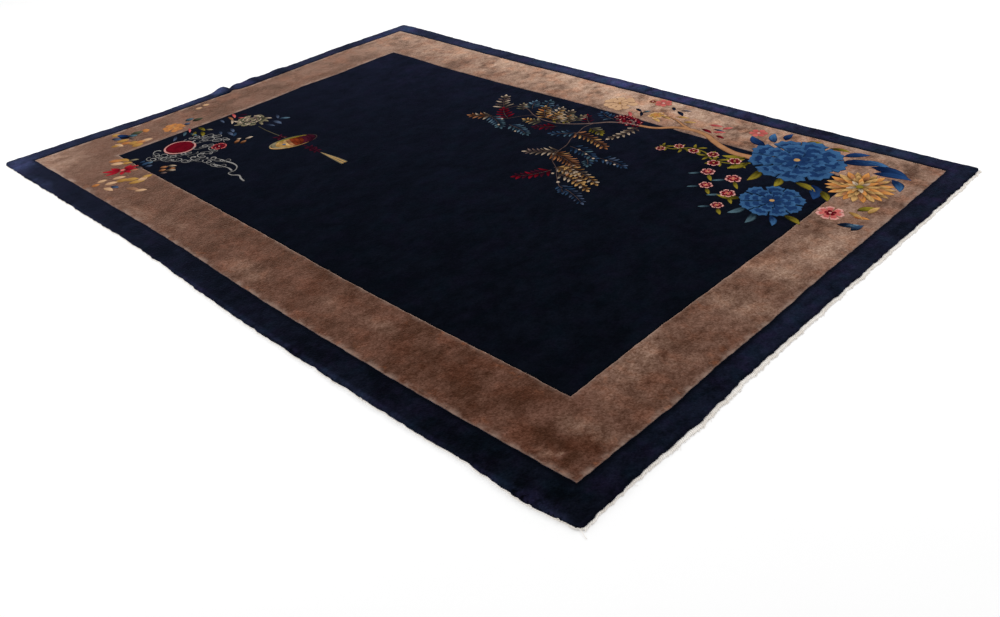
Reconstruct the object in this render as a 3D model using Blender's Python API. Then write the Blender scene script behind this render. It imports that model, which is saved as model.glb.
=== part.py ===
# Peking rug, lying flat: a thick wool pile with carved border lines, overcast cotton selvedges
# along both long edges, and short cotton warp ends, turned into a narrow web, at both short ends.
# Metres, +Z up. The origin is at the middle of the underside, and +X runs along the rug's length.

import math

import bmesh
import bpy
import numpy as np

# Sizes of the pile
HALF_LENGTH = 1.721
HALF_WIDTH = 1.220
PILE_HEIGHT = 0.012  # knotted foundation and wool pile together
CORNER_RADIUS = 0.018
RIM_RADIUS = 0.003  # the brushed top edge of the pile
CORNER_CELL = 0.030

# Carved lines, as rectangles: where the dark outer band meets the tan band, and where that
# meets the dark field
OUTER_LINE = {"left": -1.638, "right": 1.636, "near": -1.112, "far": 1.124}
INNER_LINE = {"left": -1.366, "right": 1.392, "near": -0.848, "far": 0.850}
CARVING_WIDTH = 0.010
CARVING_DEPTH = 0.003

# Knot rows are never quite straight: each line's drift in millimetres, +Y or +X
LONG_LINES = ("near edge", "near outer", "near inner", "far inner", "far outer", "far edge")
DRIFT_ALONG_X = (
    ("x", "near edge", "near outer", "near inner", "far inner", "far outer", "far edge"),
    (-1.50, 1, -4, 8, 1, 9, 13),
    (-1.20, 7, 1, 8, 1, 10, 5),
    (-0.90, 8, 3, 9, -9, -2, -3),
    (-0.60, 14, 9, 9, -10, -5, -5),
    (-0.30, 10, 6, 5, -1, 1, 0),
    (0.00, -2, -3, -1, 10, 0, 1),
    (0.30, -10, -9, -5, 9, 0, -2),
    (0.60, -9, -8, -7, 5, -2, -1),
    (0.90, -7, -6, -2, 3, -7, -5),
    (1.20, -2, 2, 5, 0, -3, -9),
    (1.50, 4, 7, 5, 0, 6, -2),
    (1.72, 11, 9, 5, 0, 6, 3),
)
SHORT_LINES = ("left edge", "left outer", "left inner", "right inner", "right outer", "right edge")
DRIFT_ALONG_Y = (
    ("y", "left edge", "left outer", "left inner", "right inner", "right outer", "right edge"),
    (-1.20, -29, -16, 4, 2, -3, 2),
    (-0.95, -16, -13, 4, 2, -4, 2),
    (-0.70, 2, -1, 8, -2, 0, 3),
    (-0.45, 20, 2, 14, -4, 2, 0),
    (-0.20, 18, 10, 16, -2, 1, -2),
    (0.05, 8, 12, 8, 1, -2, -1),
    (0.20, 4, 6, -4, 3, -2, 1),
    (0.45, 0, -6, 3, 2, 1, 2),
    (0.70, -10, -12, -6, 0, 3, 6),
    (0.95, -6, -5, -4, -1, 2, 5),
    (1.20, -2, -2, -2, 0, 0, 5),
)

# Puckers that lift the left end off the floor: place along Y, height, and reach to the near
# side, to the far side and into the rug
PUCKERS = (
    ("y", "height", "near", "far", "reach"),
    (-0.062, 0.016, 0.095, 0.032, 0.080),
    (0.105, 0.007, 0.070, 0.060, 0.080),
    (0.285, 0.005, 0.090, 0.070, 0.080),
)
PUCKER_ROWS = 4  # rows of points on each flank of a pucker

# The pile's top swells and sinks a little: height, and wavelength along X and Y
SWELLS = (
    ("height", "x wave", "y wave", "phase"),
    (0.0006, 0.92, 1.31, 0.4),
    (0.0004, 0.57, 0.73, 2.1),
)

# Edge pieces
SEAM_GAP = 0.0003
SELVEDGE_DIAMETER = 0.004
SELVEDGE_END = 0.016  # how far short of the pile's corner it stops
WEB_WIDTH = 0.008  # the woven root of the warp ends
WEB_THICKNESS = 0.003
WEB_END = 0.006
LOCKS_PER_END = 140
LOCK_LENGTH = 0.006
LOCK_ROOT_SHARE = 0.62  # of a lock's pitch
LOCK_TIP_SHARE = 0.44
LOCK_SLANT = 0.004

NAVY_WOOL = (0.006, 0.008, 0.022, 1.0)
IVORY_COTTON = (0.76, 0.73, 0.65, 1.0)


def rows_of(table):
    names = table[0]
    return [dict(zip(names, row)) for row in table[1:]]


def drift(table, line, station):
    rows = rows_of(table)
    key = table[0][0]
    millimetres = np.interp(station, [row[key] for row in rows], [row[line] for row in rows])
    return float(millimetres) / 1000


def place(x, y):
    """Moves a point of the plain rectangle to where the hand-knotted rug has it."""
    y_lines = (-HALF_WIDTH, OUTER_LINE["near"], INNER_LINE["near"])
    y_lines += (INNER_LINE["far"], OUTER_LINE["far"], HALF_WIDTH)
    x_lines = (-HALF_LENGTH, OUTER_LINE["left"], INNER_LINE["left"])
    x_lines += (INNER_LINE["right"], OUTER_LINE["right"], HALF_LENGTH)
    along_y = [drift(DRIFT_ALONG_X, line, x) for line in LONG_LINES]
    along_x = [drift(DRIFT_ALONG_Y, line, y) for line in SHORT_LINES]
    return x + float(np.interp(x, x_lines, along_x)), y + float(np.interp(y, y_lines, along_y))


def lift(x, y):
    """The height of the underside above the floor, on the plain rectangle."""
    total = 0.0
    for pucker in rows_of(PUCKERS):
        away = y - pucker["y"]
        side = pucker["far"] if away > 0 else pucker["near"]
        across = max(0.0, 1 - (away / side) ** 2)
        inward = max(0.0, 1 - (x + HALF_LENGTH) / pucker["reach"])
        total += pucker["height"] * across**2 * inward * (2 - inward)
    return total


def swell(x, y):
    waves = 0.0
    for wave in rows_of(SWELLS):
        turn = x / wave["x wave"] + y / wave["y wave"]
        waves += wave["height"] * math.sin(2 * math.pi * turn + wave["phase"])
    return waves


def stations(half, lines, extra, longest_step):
    """Rows of points across the rug: its edges, both sides of each carving, and even steps between."""
    marks = [-half, half, -half + CORNER_CELL, half - CORNER_CELL] + list(extra)
    for line in lines:
        marks += [line - CARVING_WIDTH / 2, line, line + CARVING_WIDTH / 2]
    marks.sort()
    found = [marks[0]]
    for mark in marks[1:]:
        steps = math.ceil((mark - found[-1]) / longest_step - 1e-9)
        start = found[-1]
        found += [start + (mark - start) * step / steps for step in range(1, steps + 1)]
    return found


def x_stations():
    lines = [OUTER_LINE["left"], INNER_LINE["left"], INNER_LINE["right"], OUTER_LINE["right"]]
    return stations(HALF_LENGTH, lines, [], 0.23)


def y_stations():
    lines = [OUTER_LINE["near"], INNER_LINE["near"], INNER_LINE["far"], OUTER_LINE["far"]]
    rows = set()
    for pucker in rows_of(PUCKERS):
        for row in range(PUCKER_ROWS):
            share = row / (PUCKER_ROWS - 1)
            rows.add(round(pucker["y"] + pucker["far"] * share, 4))
            rows.add(round(pucker["y"] - pucker["near"] * share, 4))
    return stations(HALF_WIDTH, lines, thinned(rows), 0.20)


def thinned(marks):
    """Leaves out marks that stand closer than a pucker needs."""
    closest = 0.010
    kept = []
    for mark in sorted(marks):
        if not kept or mark - kept[-1] >= closest:
            kept.append(mark)
    return kept


def on_rectangle(x, y, line):
    close = CARVING_WIDTH / 10
    in_x = line["left"] - close < x < line["right"] + close
    in_y = line["near"] - close < y < line["far"] + close
    on_end = min(abs(x - line["left"]), abs(x - line["right"])) < close
    on_side = min(abs(y - line["near"]), abs(y - line["far"])) < close
    return (on_end and in_y) or (on_side and in_x)


def wool(name, colour, roughness):
    material = bpy.data.materials.new(name)
    material.use_nodes = True
    shader = material.node_tree.nodes["Principled BSDF"]
    shader.inputs["Base Color"].default_value = colour
    shader.inputs["Roughness"].default_value = roughness
    shader.inputs["Metallic"].default_value = 0.0
    return material


def add_object(name, data, material, collection):
    item = bpy.data.objects.new(name, data)
    item.data.materials.append(material)
    collection.objects.link(item)
    return item


def pile_rug(material, collection):
    """The knotted pile: one slab on the floor, its top carved along two border lines."""
    columns = x_stations()
    rows = y_stations()
    mesh = bmesh.new()
    bmesh.ops.create_grid(
        mesh, x_segments=len(columns) - 1, y_segments=len(rows) - 1, size=0.5
    )
    for point in mesh.verts:
        column = round((point.co.x + 0.5) * (len(columns) - 1))
        row = round((point.co.y + 0.5) * (len(rows) - 1))
        point.co = (columns[column], rows[row], 0)
    raised = bmesh.ops.extrude_face_region(mesh, geom=mesh.faces[:])["geom"]
    top = [item for item in raised if isinstance(item, bmesh.types.BMVert)]
    for point in top:
        carved = on_rectangle(point.co.x, point.co.y, OUTER_LINE)
        carved = carved or on_rectangle(point.co.x, point.co.y, INNER_LINE)
        point.co.z = PILE_HEIGHT - (CARVING_DEPTH if carved else 0)
    bmesh.ops.recalc_face_normals(mesh, faces=mesh.faces)
    round_corners(mesh)
    round_rim(mesh)
    for point in mesh.verts:
        x, y, z = point.co
        height = z * (1 + swell(x, y) / PILE_HEIGHT) + lift(x, y)
        point.co = (*place(x, y), height)
    bmesh.ops.triangulate(mesh, faces=mesh.faces[:])
    bmesh.ops.recalc_face_normals(mesh, faces=mesh.faces)
    data = bpy.data.meshes.new("pile_rug")
    mesh.to_mesh(data)
    mesh.free()
    item = add_object("pile_rug", data, material, collection)
    data.shade_smooth()
    data.set_sharp_from_angle(angle=math.radians(50))
    return item


def round_corners(mesh):
    corners = [edge for edge in mesh.edges if is_upright(edge) and at_corner(edge.verts[0].co)]
    bmesh.ops.bevel(
        mesh, geom=corners, offset=CORNER_RADIUS, segments=3, profile=0.5, affect="EDGES"
    )


def round_rim(mesh):
    rim = [edge for edge in mesh.edges if at_rim(edge)]
    bmesh.ops.bevel(mesh, geom=rim, offset=RIM_RADIUS, segments=2, profile=0.5, affect="EDGES")


def is_upright(edge):
    start, end = (point.co for point in edge.verts)
    return (start.xy - end.xy).length < 1e-6 and abs(start.z - end.z) > 1e-6


def at_corner(spot):
    return abs(spot.x) > HALF_LENGTH - 1e-6 and abs(spot.y) > HALF_WIDTH - 1e-6


def at_rim(edge):
    """The edges between the pile's top and its side wall."""
    if min(point.co.z for point in edge.verts) < PILE_HEIGHT - 1e-6 or len(edge.link_faces) != 2:
        return False
    return abs(edge.link_faces[0].normal.z - edge.link_faces[1].normal.z) > 0.5


def long_edge(side):
    """The built line of a long edge: side is -1 for the near one, 1 for the far one."""
    return [place(x, side * HALF_WIDTH) for x in x_stations()]


def selvedge(name, side, material, collection):
    """The overcast cotton cord that binds the outermost warps, on the floor beside the pile."""
    curve = bpy.data.curves.new(name, "CURVE")
    curve.dimensions = "3D"
    curve.bevel_depth = SELVEDGE_DIAMETER / 2
    curve.bevel_resolution = 2
    curve.use_fill_caps = True
    aside = side * (SEAM_GAP + SELVEDGE_DIAMETER / 2)
    line = long_edge(side)
    reach = HALF_LENGTH - SELVEDGE_END
    ends = [
        (x, float(np.interp(x, [p[0] for p in line], [p[1] for p in line])))
        for x in (-reach, reach)
    ]
    inner = [spot for spot in line if abs(spot[0]) < reach - SELVEDGE_END]
    route = [ends[0]] + inner + [ends[1]]
    spline = curve.splines.new("POLY")
    spline.points.add(len(route) - 1)
    for point, (x, y) in zip(spline.points, route):
        point.co = (x, y + aside, SELVEDGE_DIAMETER / 2, 1)
    return add_object(name, curve, material, collection)


def short_edge(side):
    """The built line of a short end, with its lift: side is -1 for the left end, 1 for the right."""
    x = side * HALF_LENGTH
    reach = HALF_WIDTH - WEB_END
    rows = [-reach] + [row for row in y_stations() if abs(row) < reach - WEB_END] + [reach]
    return [(*place(x, row), lift(x, row)) for row in rows]


def warp_ends(name, side, material, collection):
    """A narrow cotton web along a short end, with the locks of cut warps standing out of it."""
    edge = short_edge(side)
    edge_y = [spot[1] for spot in edge]
    edge_x = [spot[0] + side * SEAM_GAP for spot in edge]
    outline = list(zip(edge_x, edge_y))
    first, last = edge_y[0], edge_y[-1]
    pitch = (last - first) / LOCKS_PER_END
    lock = []
    for number in range(LOCKS_PER_END):
        middle = last - pitch * (number + 0.5)
        length = LOCK_LENGTH * (1 + 0.22 * math.sin(2.7 * number) * math.cos(0.37 * number))
        slant = LOCK_SLANT * (1 + 0.3 * math.sin(1.9 * number + 0.8))
        root = pitch * LOCK_ROOT_SHARE / 2
        tip = pitch * LOCK_TIP_SHARE / 2
        lock.append((WEB_WIDTH, middle + root))
        lock.append((WEB_WIDTH + length, middle - slant + tip))
        lock.append((WEB_WIDTH + length, middle - slant - tip))
        lock.append((WEB_WIDTH, middle - root))
    far_corner = [(WEB_WIDTH, last)]
    near_corner = [(WEB_WIDTH, first)]
    for out, y in far_corner + lock + near_corner:
        base = float(np.interp(y, edge_y, edge_x))
        outline.append((base + side * out, y))
    curve = bpy.data.curves.new(name, "CURVE")
    curve.dimensions = "2D"
    curve.fill_mode = "BOTH"
    curve.extrude = WEB_THICKNESS / 2
    spline = curve.splines.new("POLY")
    spline.points.add(len(outline) - 1)
    for point, (x, y) in zip(spline.points, outline):
        point.co = (x, y, 0, 1)
    spline.use_cyclic_u = True
    return lying_mesh(name, curve, edge, material, collection)


def lying_mesh(name, curve, edge, material, collection):
    """Makes the flat outline a mesh on the floor, raised where the pile's end is raised."""
    flat = add_object(name + "_outline", curve, material, collection)
    graph = bpy.context.evaluated_depsgraph_get()
    data = bpy.data.meshes.new_from_object(flat.evaluated_get(graph))
    data.name = name
    bpy.data.objects.remove(flat)
    mesh = bmesh.new()
    mesh.from_mesh(data)
    bmesh.ops.remove_doubles(mesh, verts=mesh.verts, dist=0.00001)
    heights = [spot[2] for spot in edge]
    edge_y = [spot[1] for spot in edge]
    for point in mesh.verts:
        raised = float(np.interp(point.co.y, edge_y, heights))
        point.co.z += WEB_THICKNESS / 2 + raised
    bmesh.ops.triangulate(mesh, faces=mesh.faces[:])
    bmesh.ops.recalc_face_normals(mesh, faces=mesh.faces)
    mesh.to_mesh(data)
    mesh.free()
    data.materials.clear()
    return add_object(name, data, material, collection)


def main():
    for item in list(bpy.data.objects):
        bpy.data.objects.remove(item)
    rug = bpy.data.collections.new("peking_rug")
    bpy.context.scene.collection.children.link(rug)
    navy = wool("wool_pile", NAVY_WOOL, 0.9)
    ivory = wool("cotton", IVORY_COTTON, 0.85)
    pile_rug(navy, rug)
    selvedge("selvedge_near", -1, ivory, rug)
    selvedge("selvedge_far", 1, ivory, rug)
    warp_ends("warp_ends_left", -1, ivory, rug)
    warp_ends("warp_ends_right", 1, ivory, rug)


main()
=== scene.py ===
import math

import bmesh
import bpy
import numpy as np
from mathutils import Matrix


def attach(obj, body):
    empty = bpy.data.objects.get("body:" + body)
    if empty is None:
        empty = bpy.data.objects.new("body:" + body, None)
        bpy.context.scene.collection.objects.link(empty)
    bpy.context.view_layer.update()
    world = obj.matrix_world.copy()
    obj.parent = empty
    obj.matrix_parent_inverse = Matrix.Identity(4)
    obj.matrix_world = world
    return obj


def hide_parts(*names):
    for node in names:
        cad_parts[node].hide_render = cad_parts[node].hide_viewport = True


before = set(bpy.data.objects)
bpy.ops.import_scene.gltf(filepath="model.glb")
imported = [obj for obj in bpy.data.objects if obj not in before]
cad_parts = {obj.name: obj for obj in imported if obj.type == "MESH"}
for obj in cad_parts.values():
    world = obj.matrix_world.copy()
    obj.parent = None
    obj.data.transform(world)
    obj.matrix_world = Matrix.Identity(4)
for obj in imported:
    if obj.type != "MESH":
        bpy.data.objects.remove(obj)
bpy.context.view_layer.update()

chance = np.random.default_rng(11)


# A shader socket that takes part in sums
class Wire:
    def __init__(self, finish, socket):
        self.finish = finish
        self.socket = socket

    def maths(self, operation, first, second=0.0):
        return self.finish.node("ShaderNodeMath", {"operation": operation}, {0: first, 1: second})

    def __add__(self, other):
        return self.maths("ADD", self, other)

    def __sub__(self, other):
        return self.maths("SUBTRACT", self, other)

    def __rsub__(self, other):
        return self.maths("SUBTRACT", other, self)

    def __mul__(self, other):
        return self.maths("MULTIPLY", self, other)

    __radd__ = __add__
    __rmul__ = __mul__


# A material and the few ways in which its nodes are made
class Finish:
    def __init__(self, name):
        self.material = bpy.data.materials.new(name)
        self.material.use_nodes = True
        self.tree = self.material.node_tree
        self.shader = self.tree.nodes["Principled BSDF"]

    def node(self, kind, settings, values, output=0):
        made = self.tree.nodes.new(kind)
        for key, setting in settings.items():
            setattr(made, key, setting)
        for key, value in values.items():
            self.feed(made.inputs[key], value)
        return Wire(self, made.outputs[output])

    def feed(self, socket, value):
        if isinstance(value, Wire):
            self.tree.links.new(value.socket, socket)
        else:
            socket.default_value = value

    def spot(self):
        return self.node("ShaderNodeTexCoord", {}, {}, "Object")

    def noise(self, scale, detail=2.0, roughness=0.5, stretch=None):
        vector = self.spot()
        if stretch:
            vector = self.node("ShaderNodeMapping", {}, {"Vector": vector, "Scale": (*stretch, 1.0)})
        values = {"Vector": vector, "Scale": scale, "Detail": detail, "Roughness": roughness}
        return self.node("ShaderNodeTexNoise", {}, values)

    def cells(self, scale, output):
        return self.node("ShaderNodeTexVoronoi", {}, {"Vector": self.spot(), "Scale": scale}, output)

    def graded(self, value, ends):  # from black to white between two levels
        made = self.node("ShaderNodeValToRGB", {}, {"Fac": value})
        for element, end in zip(made.socket.node.color_ramp.elements, ends):
            element.position = end
        return made

    def blend(self, factor, first, second, mode="MIX"):
        settings = {"data_type": "RGBA", "blend_type": mode}
        return self.node("ShaderNodeMix", settings, {0: factor, 6: first, 7: second}, 2)

    def painted(self, name):
        return self.node("ShaderNodeAttribute", {"attribute_name": name}, {}, "Fac")

    def bump(self, height, distance, strength=1.0):
        values = {"Height": height, "Distance": distance, "Strength": strength}
        return self.node("ShaderNodeBump", {}, values)

    def fit(self, values):
        for key, value in values.items():
            self.feed(self.shader.inputs[key], value)


def shade(red, green, blue):  # a screen colour of 0 to 255 as the shader's own
    parts = [part / 255 for part in (red, green, blue)]
    linear = [part / 12.92 if part < 0.04045 else ((part + 0.055) / 1.055) ** 2.4 for part in parts]
    return (*linear, 1.0)


def scaled(colour, factor):
    return (*[min(1.0, part * factor) for part in colour[:3]], 1.0)


white = (1.0, 1.0, 1.0, 1.0)

# The rug's sizes, as its solids have them
rug = {
    "halfLength": 1.721,
    "halfWidth": 1.220,
    "pileTop": 0.012,
    "foundation": 0.0026,
    "cornerRadius": 0.018,
    "outerLine": {"left": -1.638, "right": 1.636, "near": -1.112, "far": 1.124},
    "innerLine": {"left": -1.366, "right": 1.392, "near": -0.848, "far": 0.850},
    "swells": ((0.0006, 0.92, 1.31, 0.4), (0.0004, 0.57, 0.73, 2.1)),  # height, x and y wave, phase
    "puckers": (  # place along Y, height, reach to the near and far side, and into the rug
        (-0.070, 0.016, 0.082, 0.030, 0.080),
        (0.015, 0.004, 0.040, 0.030, 0.060),
        (0.105, 0.007, 0.070, 0.060, 0.080),
        (0.285, 0.005, 0.090, 0.070, 0.080),
    ),
    "pinch": {"middle": -0.046, "reach": 0.022, "edgeIn": 0.020, "lineOut": 0.022},
    "wobbles": ((0.0007, 0.16, 1.3), (0.0005, 0.067, 4.4), (0.0004, 0.037, 2.6)),  # height, wave, phase
    "sideFrays": ((0.0010, 0.192, 0.6), (0.0008, 0.083, 2.2), (0.0005, 0.041, 5.1)),  # more at the edges
    "endFrays": ((0.0013, 0.131, 0.6), (0.0011, 0.067, 2.2), (0.0009, 0.039, 5.1)),
    "frayPower": 24,  # how close to the edges the frays stay
    "waveShift": (9, 0.4),  # how the waves differ from line to line, and along from across
    "unevenness": ((0.16, 0.0007), (0.055, 0.00045), (0.021, 0.0003)),  # spacing, height
    "lattice": {"low": (-2.1, -1.5), "size": (4.4, 3.2)},  # where the unevenness is laid out
}

# Each border line's drift in millimetres: at a station, from the near or left edge to the other
driftAlongX = np.array((
    (-1.50, 1, -4, 8, 1, 9, 13),
    (-1.20, 7, 1, 8, 1, 10, 5),
    (-0.90, 8, 3, 9, -9, -2, -3),
    (-0.60, 14, 9, 9, -10, -5, -5),
    (-0.30, 10, 6, 5, -1, 1, 0),
    (0.00, -2, -3, -1, 10, 0, 1),
    (0.30, -10, -9, -5, 9, 0, -2),
    (0.60, -9, -8, -7, 5, -2, -1),
    (0.90, -7, -6, -2, 3, -7, -5),
    (1.20, -2, 2, 5, 0, -3, -9),
    (1.35, 6, 7, 5, 0, 1, -6),
    (1.48, -2, 12, 5, 0, 5, -3),
    (1.62, 0, 17, 5, 0, 6, 0),
    (1.72, 20, 19, 5, 0, 6, 3),
))
driftAlongY = np.array((
    (-1.20, -29, -16, 4, 2, -9, 8),
    (-0.95, -16, -13, 4, 2, -5, 2),
    (-0.70, 2, -1, 8, -2, 4, 7),
    (-0.45, 20, 2, 14, -4, -3, -3),
    (-0.20, 18, 10, 16, -2, 1, -2),
    (0.05, 8, 12, 8, 1, -2, -1),
    (0.20, 4, 6, -4, 3, -2, 1),
    (0.45, 0, -6, 3, 2, 1, 2),
    (0.70, -10, -12, -6, 0, 3, 6),
    (0.95, -6, -5, -4, -1, 2, 5),
    (1.20, -2, -2, -2, 0, 0, 5),
))


def linesOf(half, first, second):
    outer, inner = rug["outerLine"], rug["innerLine"]
    return (-half, outer[first], inner[first], inner[second], outer[second], half)


def driftOf(table, station, position, lines):  # in metres, for arrays of points
    columns = [np.interp(station, table[:, 0], table[:, line]) for line in range(1, table.shape[1])]
    total = columns[0]
    for low, high, start, end in zip(lines, lines[1:], columns, columns[1:]):
        total = total + (end - start) * np.clip((position - low) / (high - low), 0, 1)
    return total / 1000


def wobble(kind, along, aside):
    shift = rug["waveShift"][0]
    total = 0 * along
    for height, wave, phase in rug[kind]:
        total = total + height * np.sin(2 * np.pi * along / wave + phase + shift * aside)
    return total


def pinch(x, y):  # beside the highest pucker the edge is drawn in and the carved line is pushed out
    fold = rug["pinch"]
    near = np.exp(-((y - fold["middle"]) / fold["reach"]) ** 2)
    stations = (-rug["halfLength"], rug["outerLine"]["left"], rug["innerLine"]["left"])
    return near * np.interp(x, stations, (fold["edgeIn"], -fold["lineOut"], 0.0))


def place(x, y):  # from the plain rectangle to where the knots lie
    acrossLines = linesOf(rug["halfWidth"], "near", "far")
    alongLines = linesOf(rug["halfLength"], "left", "right")
    power = rug["frayPower"]
    atEnd = np.clip(np.abs(x) / rug["halfLength"], 0, 1.01) ** power
    atSide = np.clip(np.abs(y) / rug["halfWidth"], 0, 1.01) ** power
    movedX = x + driftOf(driftAlongY, y, x, alongLines) + wobble("wobbles", y, x)
    movedY = y + driftOf(driftAlongX, x, y, acrossLines) + wobble("wobbles", x + rug["waveShift"][1], y)
    movedX = movedX + atEnd * wobble("endFrays", y, np.sign(x)) + pinch(x, y)
    movedY = movedY + atSide * wobble("sideFrays", x, np.sign(y))
    return movedX, movedY


def lift(x, y):  # how far the puckered end stands off the floor, on the plain rectangle
    total = 0 * x
    for middle, height, near, far, reach in rug["puckers"]:
        side = np.where(y > middle, far, near)
        across = np.clip(1 - ((y - middle) / side) ** 2, 0, None)
        inward = np.clip(1 - (x + rug["halfLength"]) / reach, 0, None)
        total = total + height * across**2 * inward * (2 - inward)
    return total


class SoftNoise:  # smooth unevenness, as a lattice of heights
    def __init__(self, spacing, height):
        self.spacing = spacing
        counts = [int(size / spacing) for size in rug["lattice"]["size"]]
        self.heights = chance.uniform(-height, height, counts)

    def at(self, x, y):
        lowX, lowY = rug["lattice"]["low"]
        column = (x - lowX) / self.spacing
        row = (y - lowY) / self.spacing
        left = np.clip(column.astype(int), 0, self.heights.shape[0] - 2)
        low = np.clip(row.astype(int), 0, self.heights.shape[1] - 2)
        across = np.clip(column - left, 0, 1)
        up = np.clip(row - low, 0, 1)
        across = across * across * (3 - 2 * across)
        up = up * up * (3 - 2 * up)
        grid = self.heights
        lower = grid[left, low] * (1 - across) + grid[left + 1, low] * across
        upper = grid[left, low + 1] * (1 - across) + grid[left + 1, low + 1] * across
        return lower * (1 - up) + upper * up


unevenness = [SoftNoise(spacing, height) for spacing, height in rug["unevenness"]]


def pileTopAt(x, y):  # the height of the pile's top at a real place
    x = np.asarray(x, dtype=float)
    y = np.asarray(y, dtype=float)
    height = rug["pileTop"] + 0 * x
    for swell, alongX, alongY, phase in rug["swells"]:
        height = height + swell * np.sin(2 * np.pi * (x / alongX + y / alongY) + phase)
    return height + sum(noise.at(x, y) for noise in unevenness)


def addObject(name, data):
    made = bpy.data.objects.new(name, data)
    bpy.context.scene.collection.objects.link(made)
    return made


def addPiece(name, points, faces, finish, painted=None):
    data = bpy.data.meshes.new(name)
    data.from_pydata(points, [], faces)
    data.validate()
    for key, values in (painted or {}).items():
        layer = data.attributes.new(key, "FLOAT", "POINT")
        layer.data.foreach_set("value", np.asarray(values, dtype=np.float32))
    shape = bmesh.new()
    shape.from_mesh(data)
    bmesh.ops.recalc_face_normals(shape, faces=shape.faces)
    shape.to_mesh(data)
    shape.free()
    data.shade_smooth()
    data.materials.append(finish.material)
    piece = addObject(name, data)
    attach(piece, "root")
    return piece


def gridQuads(columns, rows):
    corner = (np.arange(columns - 1)[:, None] * rows + np.arange(rows - 1)).ravel()
    return np.stack([corner, corner + rows, corner + rows + 1, corner + 1], axis=1)


def outlineOf(quads):  # the edges that only one quad has
    edges = np.concatenate([quads[:, [side, (side + 1) % 4]] for side in range(4)])
    _, first, times = np.unique(np.sort(edges, axis=1), axis=0, return_index=True, return_counts=True)
    return edges[first[times == 1]]


def sewTube(faces, start, rings, sides):  # walls between rings that follow each other, and both ends
    for low in range(start, start + (rings - 1) * sides, sides):
        for side in range(sides):
            following = (side + 1) % sides
            faces.append((low + side, low + following, low + sides + following, low + sides + side))
    last = start + (rings - 1) * sides
    faces.append(tuple(range(start + sides - 1, start - 1, -1)))
    faces.append(tuple(range(last, last + sides)))


# Camera, where the photo was taken from
view = {"lens": 32.969, "sensor": 36, "place": (2.72996, -2.34896, 1.67923),
        "right": (0.71714, 0.69358, -0.06823), "down": (0.34840, -0.44158, -0.82682),
        "ahead": (-0.60359, 0.56917, -0.55832)}


def addCamera():
    data = bpy.data.cameras.new("camera")
    data.sensor_width = view["sensor"]
    data.lens = view["lens"]
    camera = addObject("camera", data)
    turn = Matrix((view["right"], [-part for part in view["down"]], [-part for part in view["ahead"]]))
    camera.matrix_world = Matrix.Translation(view["place"]) @ turn.transposed().to_4x4()
    bpy.context.scene.camera = camera


addCamera()
print("camera set")


# The wool of the pile: tufts, mottled dye, and a painted tone along the carved lines: on the navy band a
# painted shadow in the groove, on the tan a pale lip that is partly worn yarn and partly a painted highlight
# on the carved edge
woolLooks = {
    "navy_field": {"dark": shade(7, 9, 14), "light": shade(13, 16, 24), "warm": (1.30, 0.95, 1.20, 1.0),
                   "cool": (0.75, 1.10, 1.05, 1.0),
                   "lightenedTone": shade(34, 34, 58), "lineWearAndShade": shade(13, 15, 24),
                   "sheen": 0.13, "sheenTint": shade(150, 164, 228), "rim": 0.3, "lip": 0.0, "grain": 0.5,
                   "speckle": (0.66, 0.68, 0.72, 1.0), "carving": 0.5, "rimAt": (0, 0.0026, 0.0075),
                   "rimShape": (0, 1, 0)},
    "navy_band": {"dark": shade(6, 8, 12), "light": shade(19, 22, 33), "warm": (1.55, 0.92, 1.30, 1.0),
                  "cool": (0.70, 1.15, 1.05, 1.0),
                  # navy band: the lightened tone paints the sheen of the far side and the lit flanks of the
                  # puckers; the rim colour is a painted shadow in the carved groove beside the tan
                  "lightenedTone": shade(62, 70, 103), "lineWearAndShade": shade(4, 5, 8),
                  "sheen": 0.38, "sheenTint": shade(152, 164, 224), "rim": 0.9, "lip": 0.0, "grain": 0.7,
                  "speckle": (0.58, 0.60, 0.66, 1.0), "carving": 0.0, "rimAt": (0, 0.004, 0.020),
                  "rimShape": (1, 1, 0)},
    "tan_band": {"dark": shade(70, 43, 31), "light": shade(111, 79, 67), "warm": (1.12, 0.90, 0.78, 1.0),
                 "cool": (0.98, 1.00, 0.98, 1.0),
                 # tan band: the lightened tone paints the sheen of the far side; the rim colour is a pale
                 # lip, partly worn yarn and partly a painted highlight on the carved edge
                 "lightenedTone": shade(206, 178, 158), "lineWearAndShade": shade(158, 136, 124),
                 "sheen": 1.0, "sheenTint": shade(255, 218, 196), "rim": 0.60, "lip": 0.62, "grain": 0.9,
                 "speckle": (0.54, 0.46, 0.40, 1.0), "carving": 1.0, "rimAt": (0, 0.0026, 0.0075),
                 "rimShape": (0, 1, 0), "stain": shade(140, 86, 58)},
}
wool = {
    "tufts": 190.0, "tuftShare": 0.35, "tuftHeight": 0.7, "bump": 0.0016, "sheenRoughness": 0.29,
    "clumps": (95.0, 3.0, 0.7, (1.12, 0.88)),  # each noise: scale, detail, roughness, stretch along X and Y
    "dye": (6.5, 5.0, 0.62, (1.25, 0.85)), "patches": (24.0, 5.0, 0.72, (1.20, 0.80)),
    "warm": (11.0, 4.0, 0.65, (0.8, 1.0)), "cool": (17.0, 3.0, 0.65, (1.0, 0.7)),
    "stain": (38.0, 2.0, 0.5, (0.7, 1.0)), "wear": (20.0, 4.0, 0.6),
    "mottleEnds": (0.28, 0.72), "warmEnds": (0.48, 0.62), "coolEnds": (0.48, 0.64),
    "stainEnds": (0.61, 0.69), "wearEnds": (0.44, 0.60), "speckleEnds": (0.30, 0.70),
    "dyeShare": 0.52, "contrast": 1.45, "dyeAndLightShift": 0.5, "lightening": 1.2, "patchLightening": 9.0,
    "hues": 0.42, "stains": 0.45,
}


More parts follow.
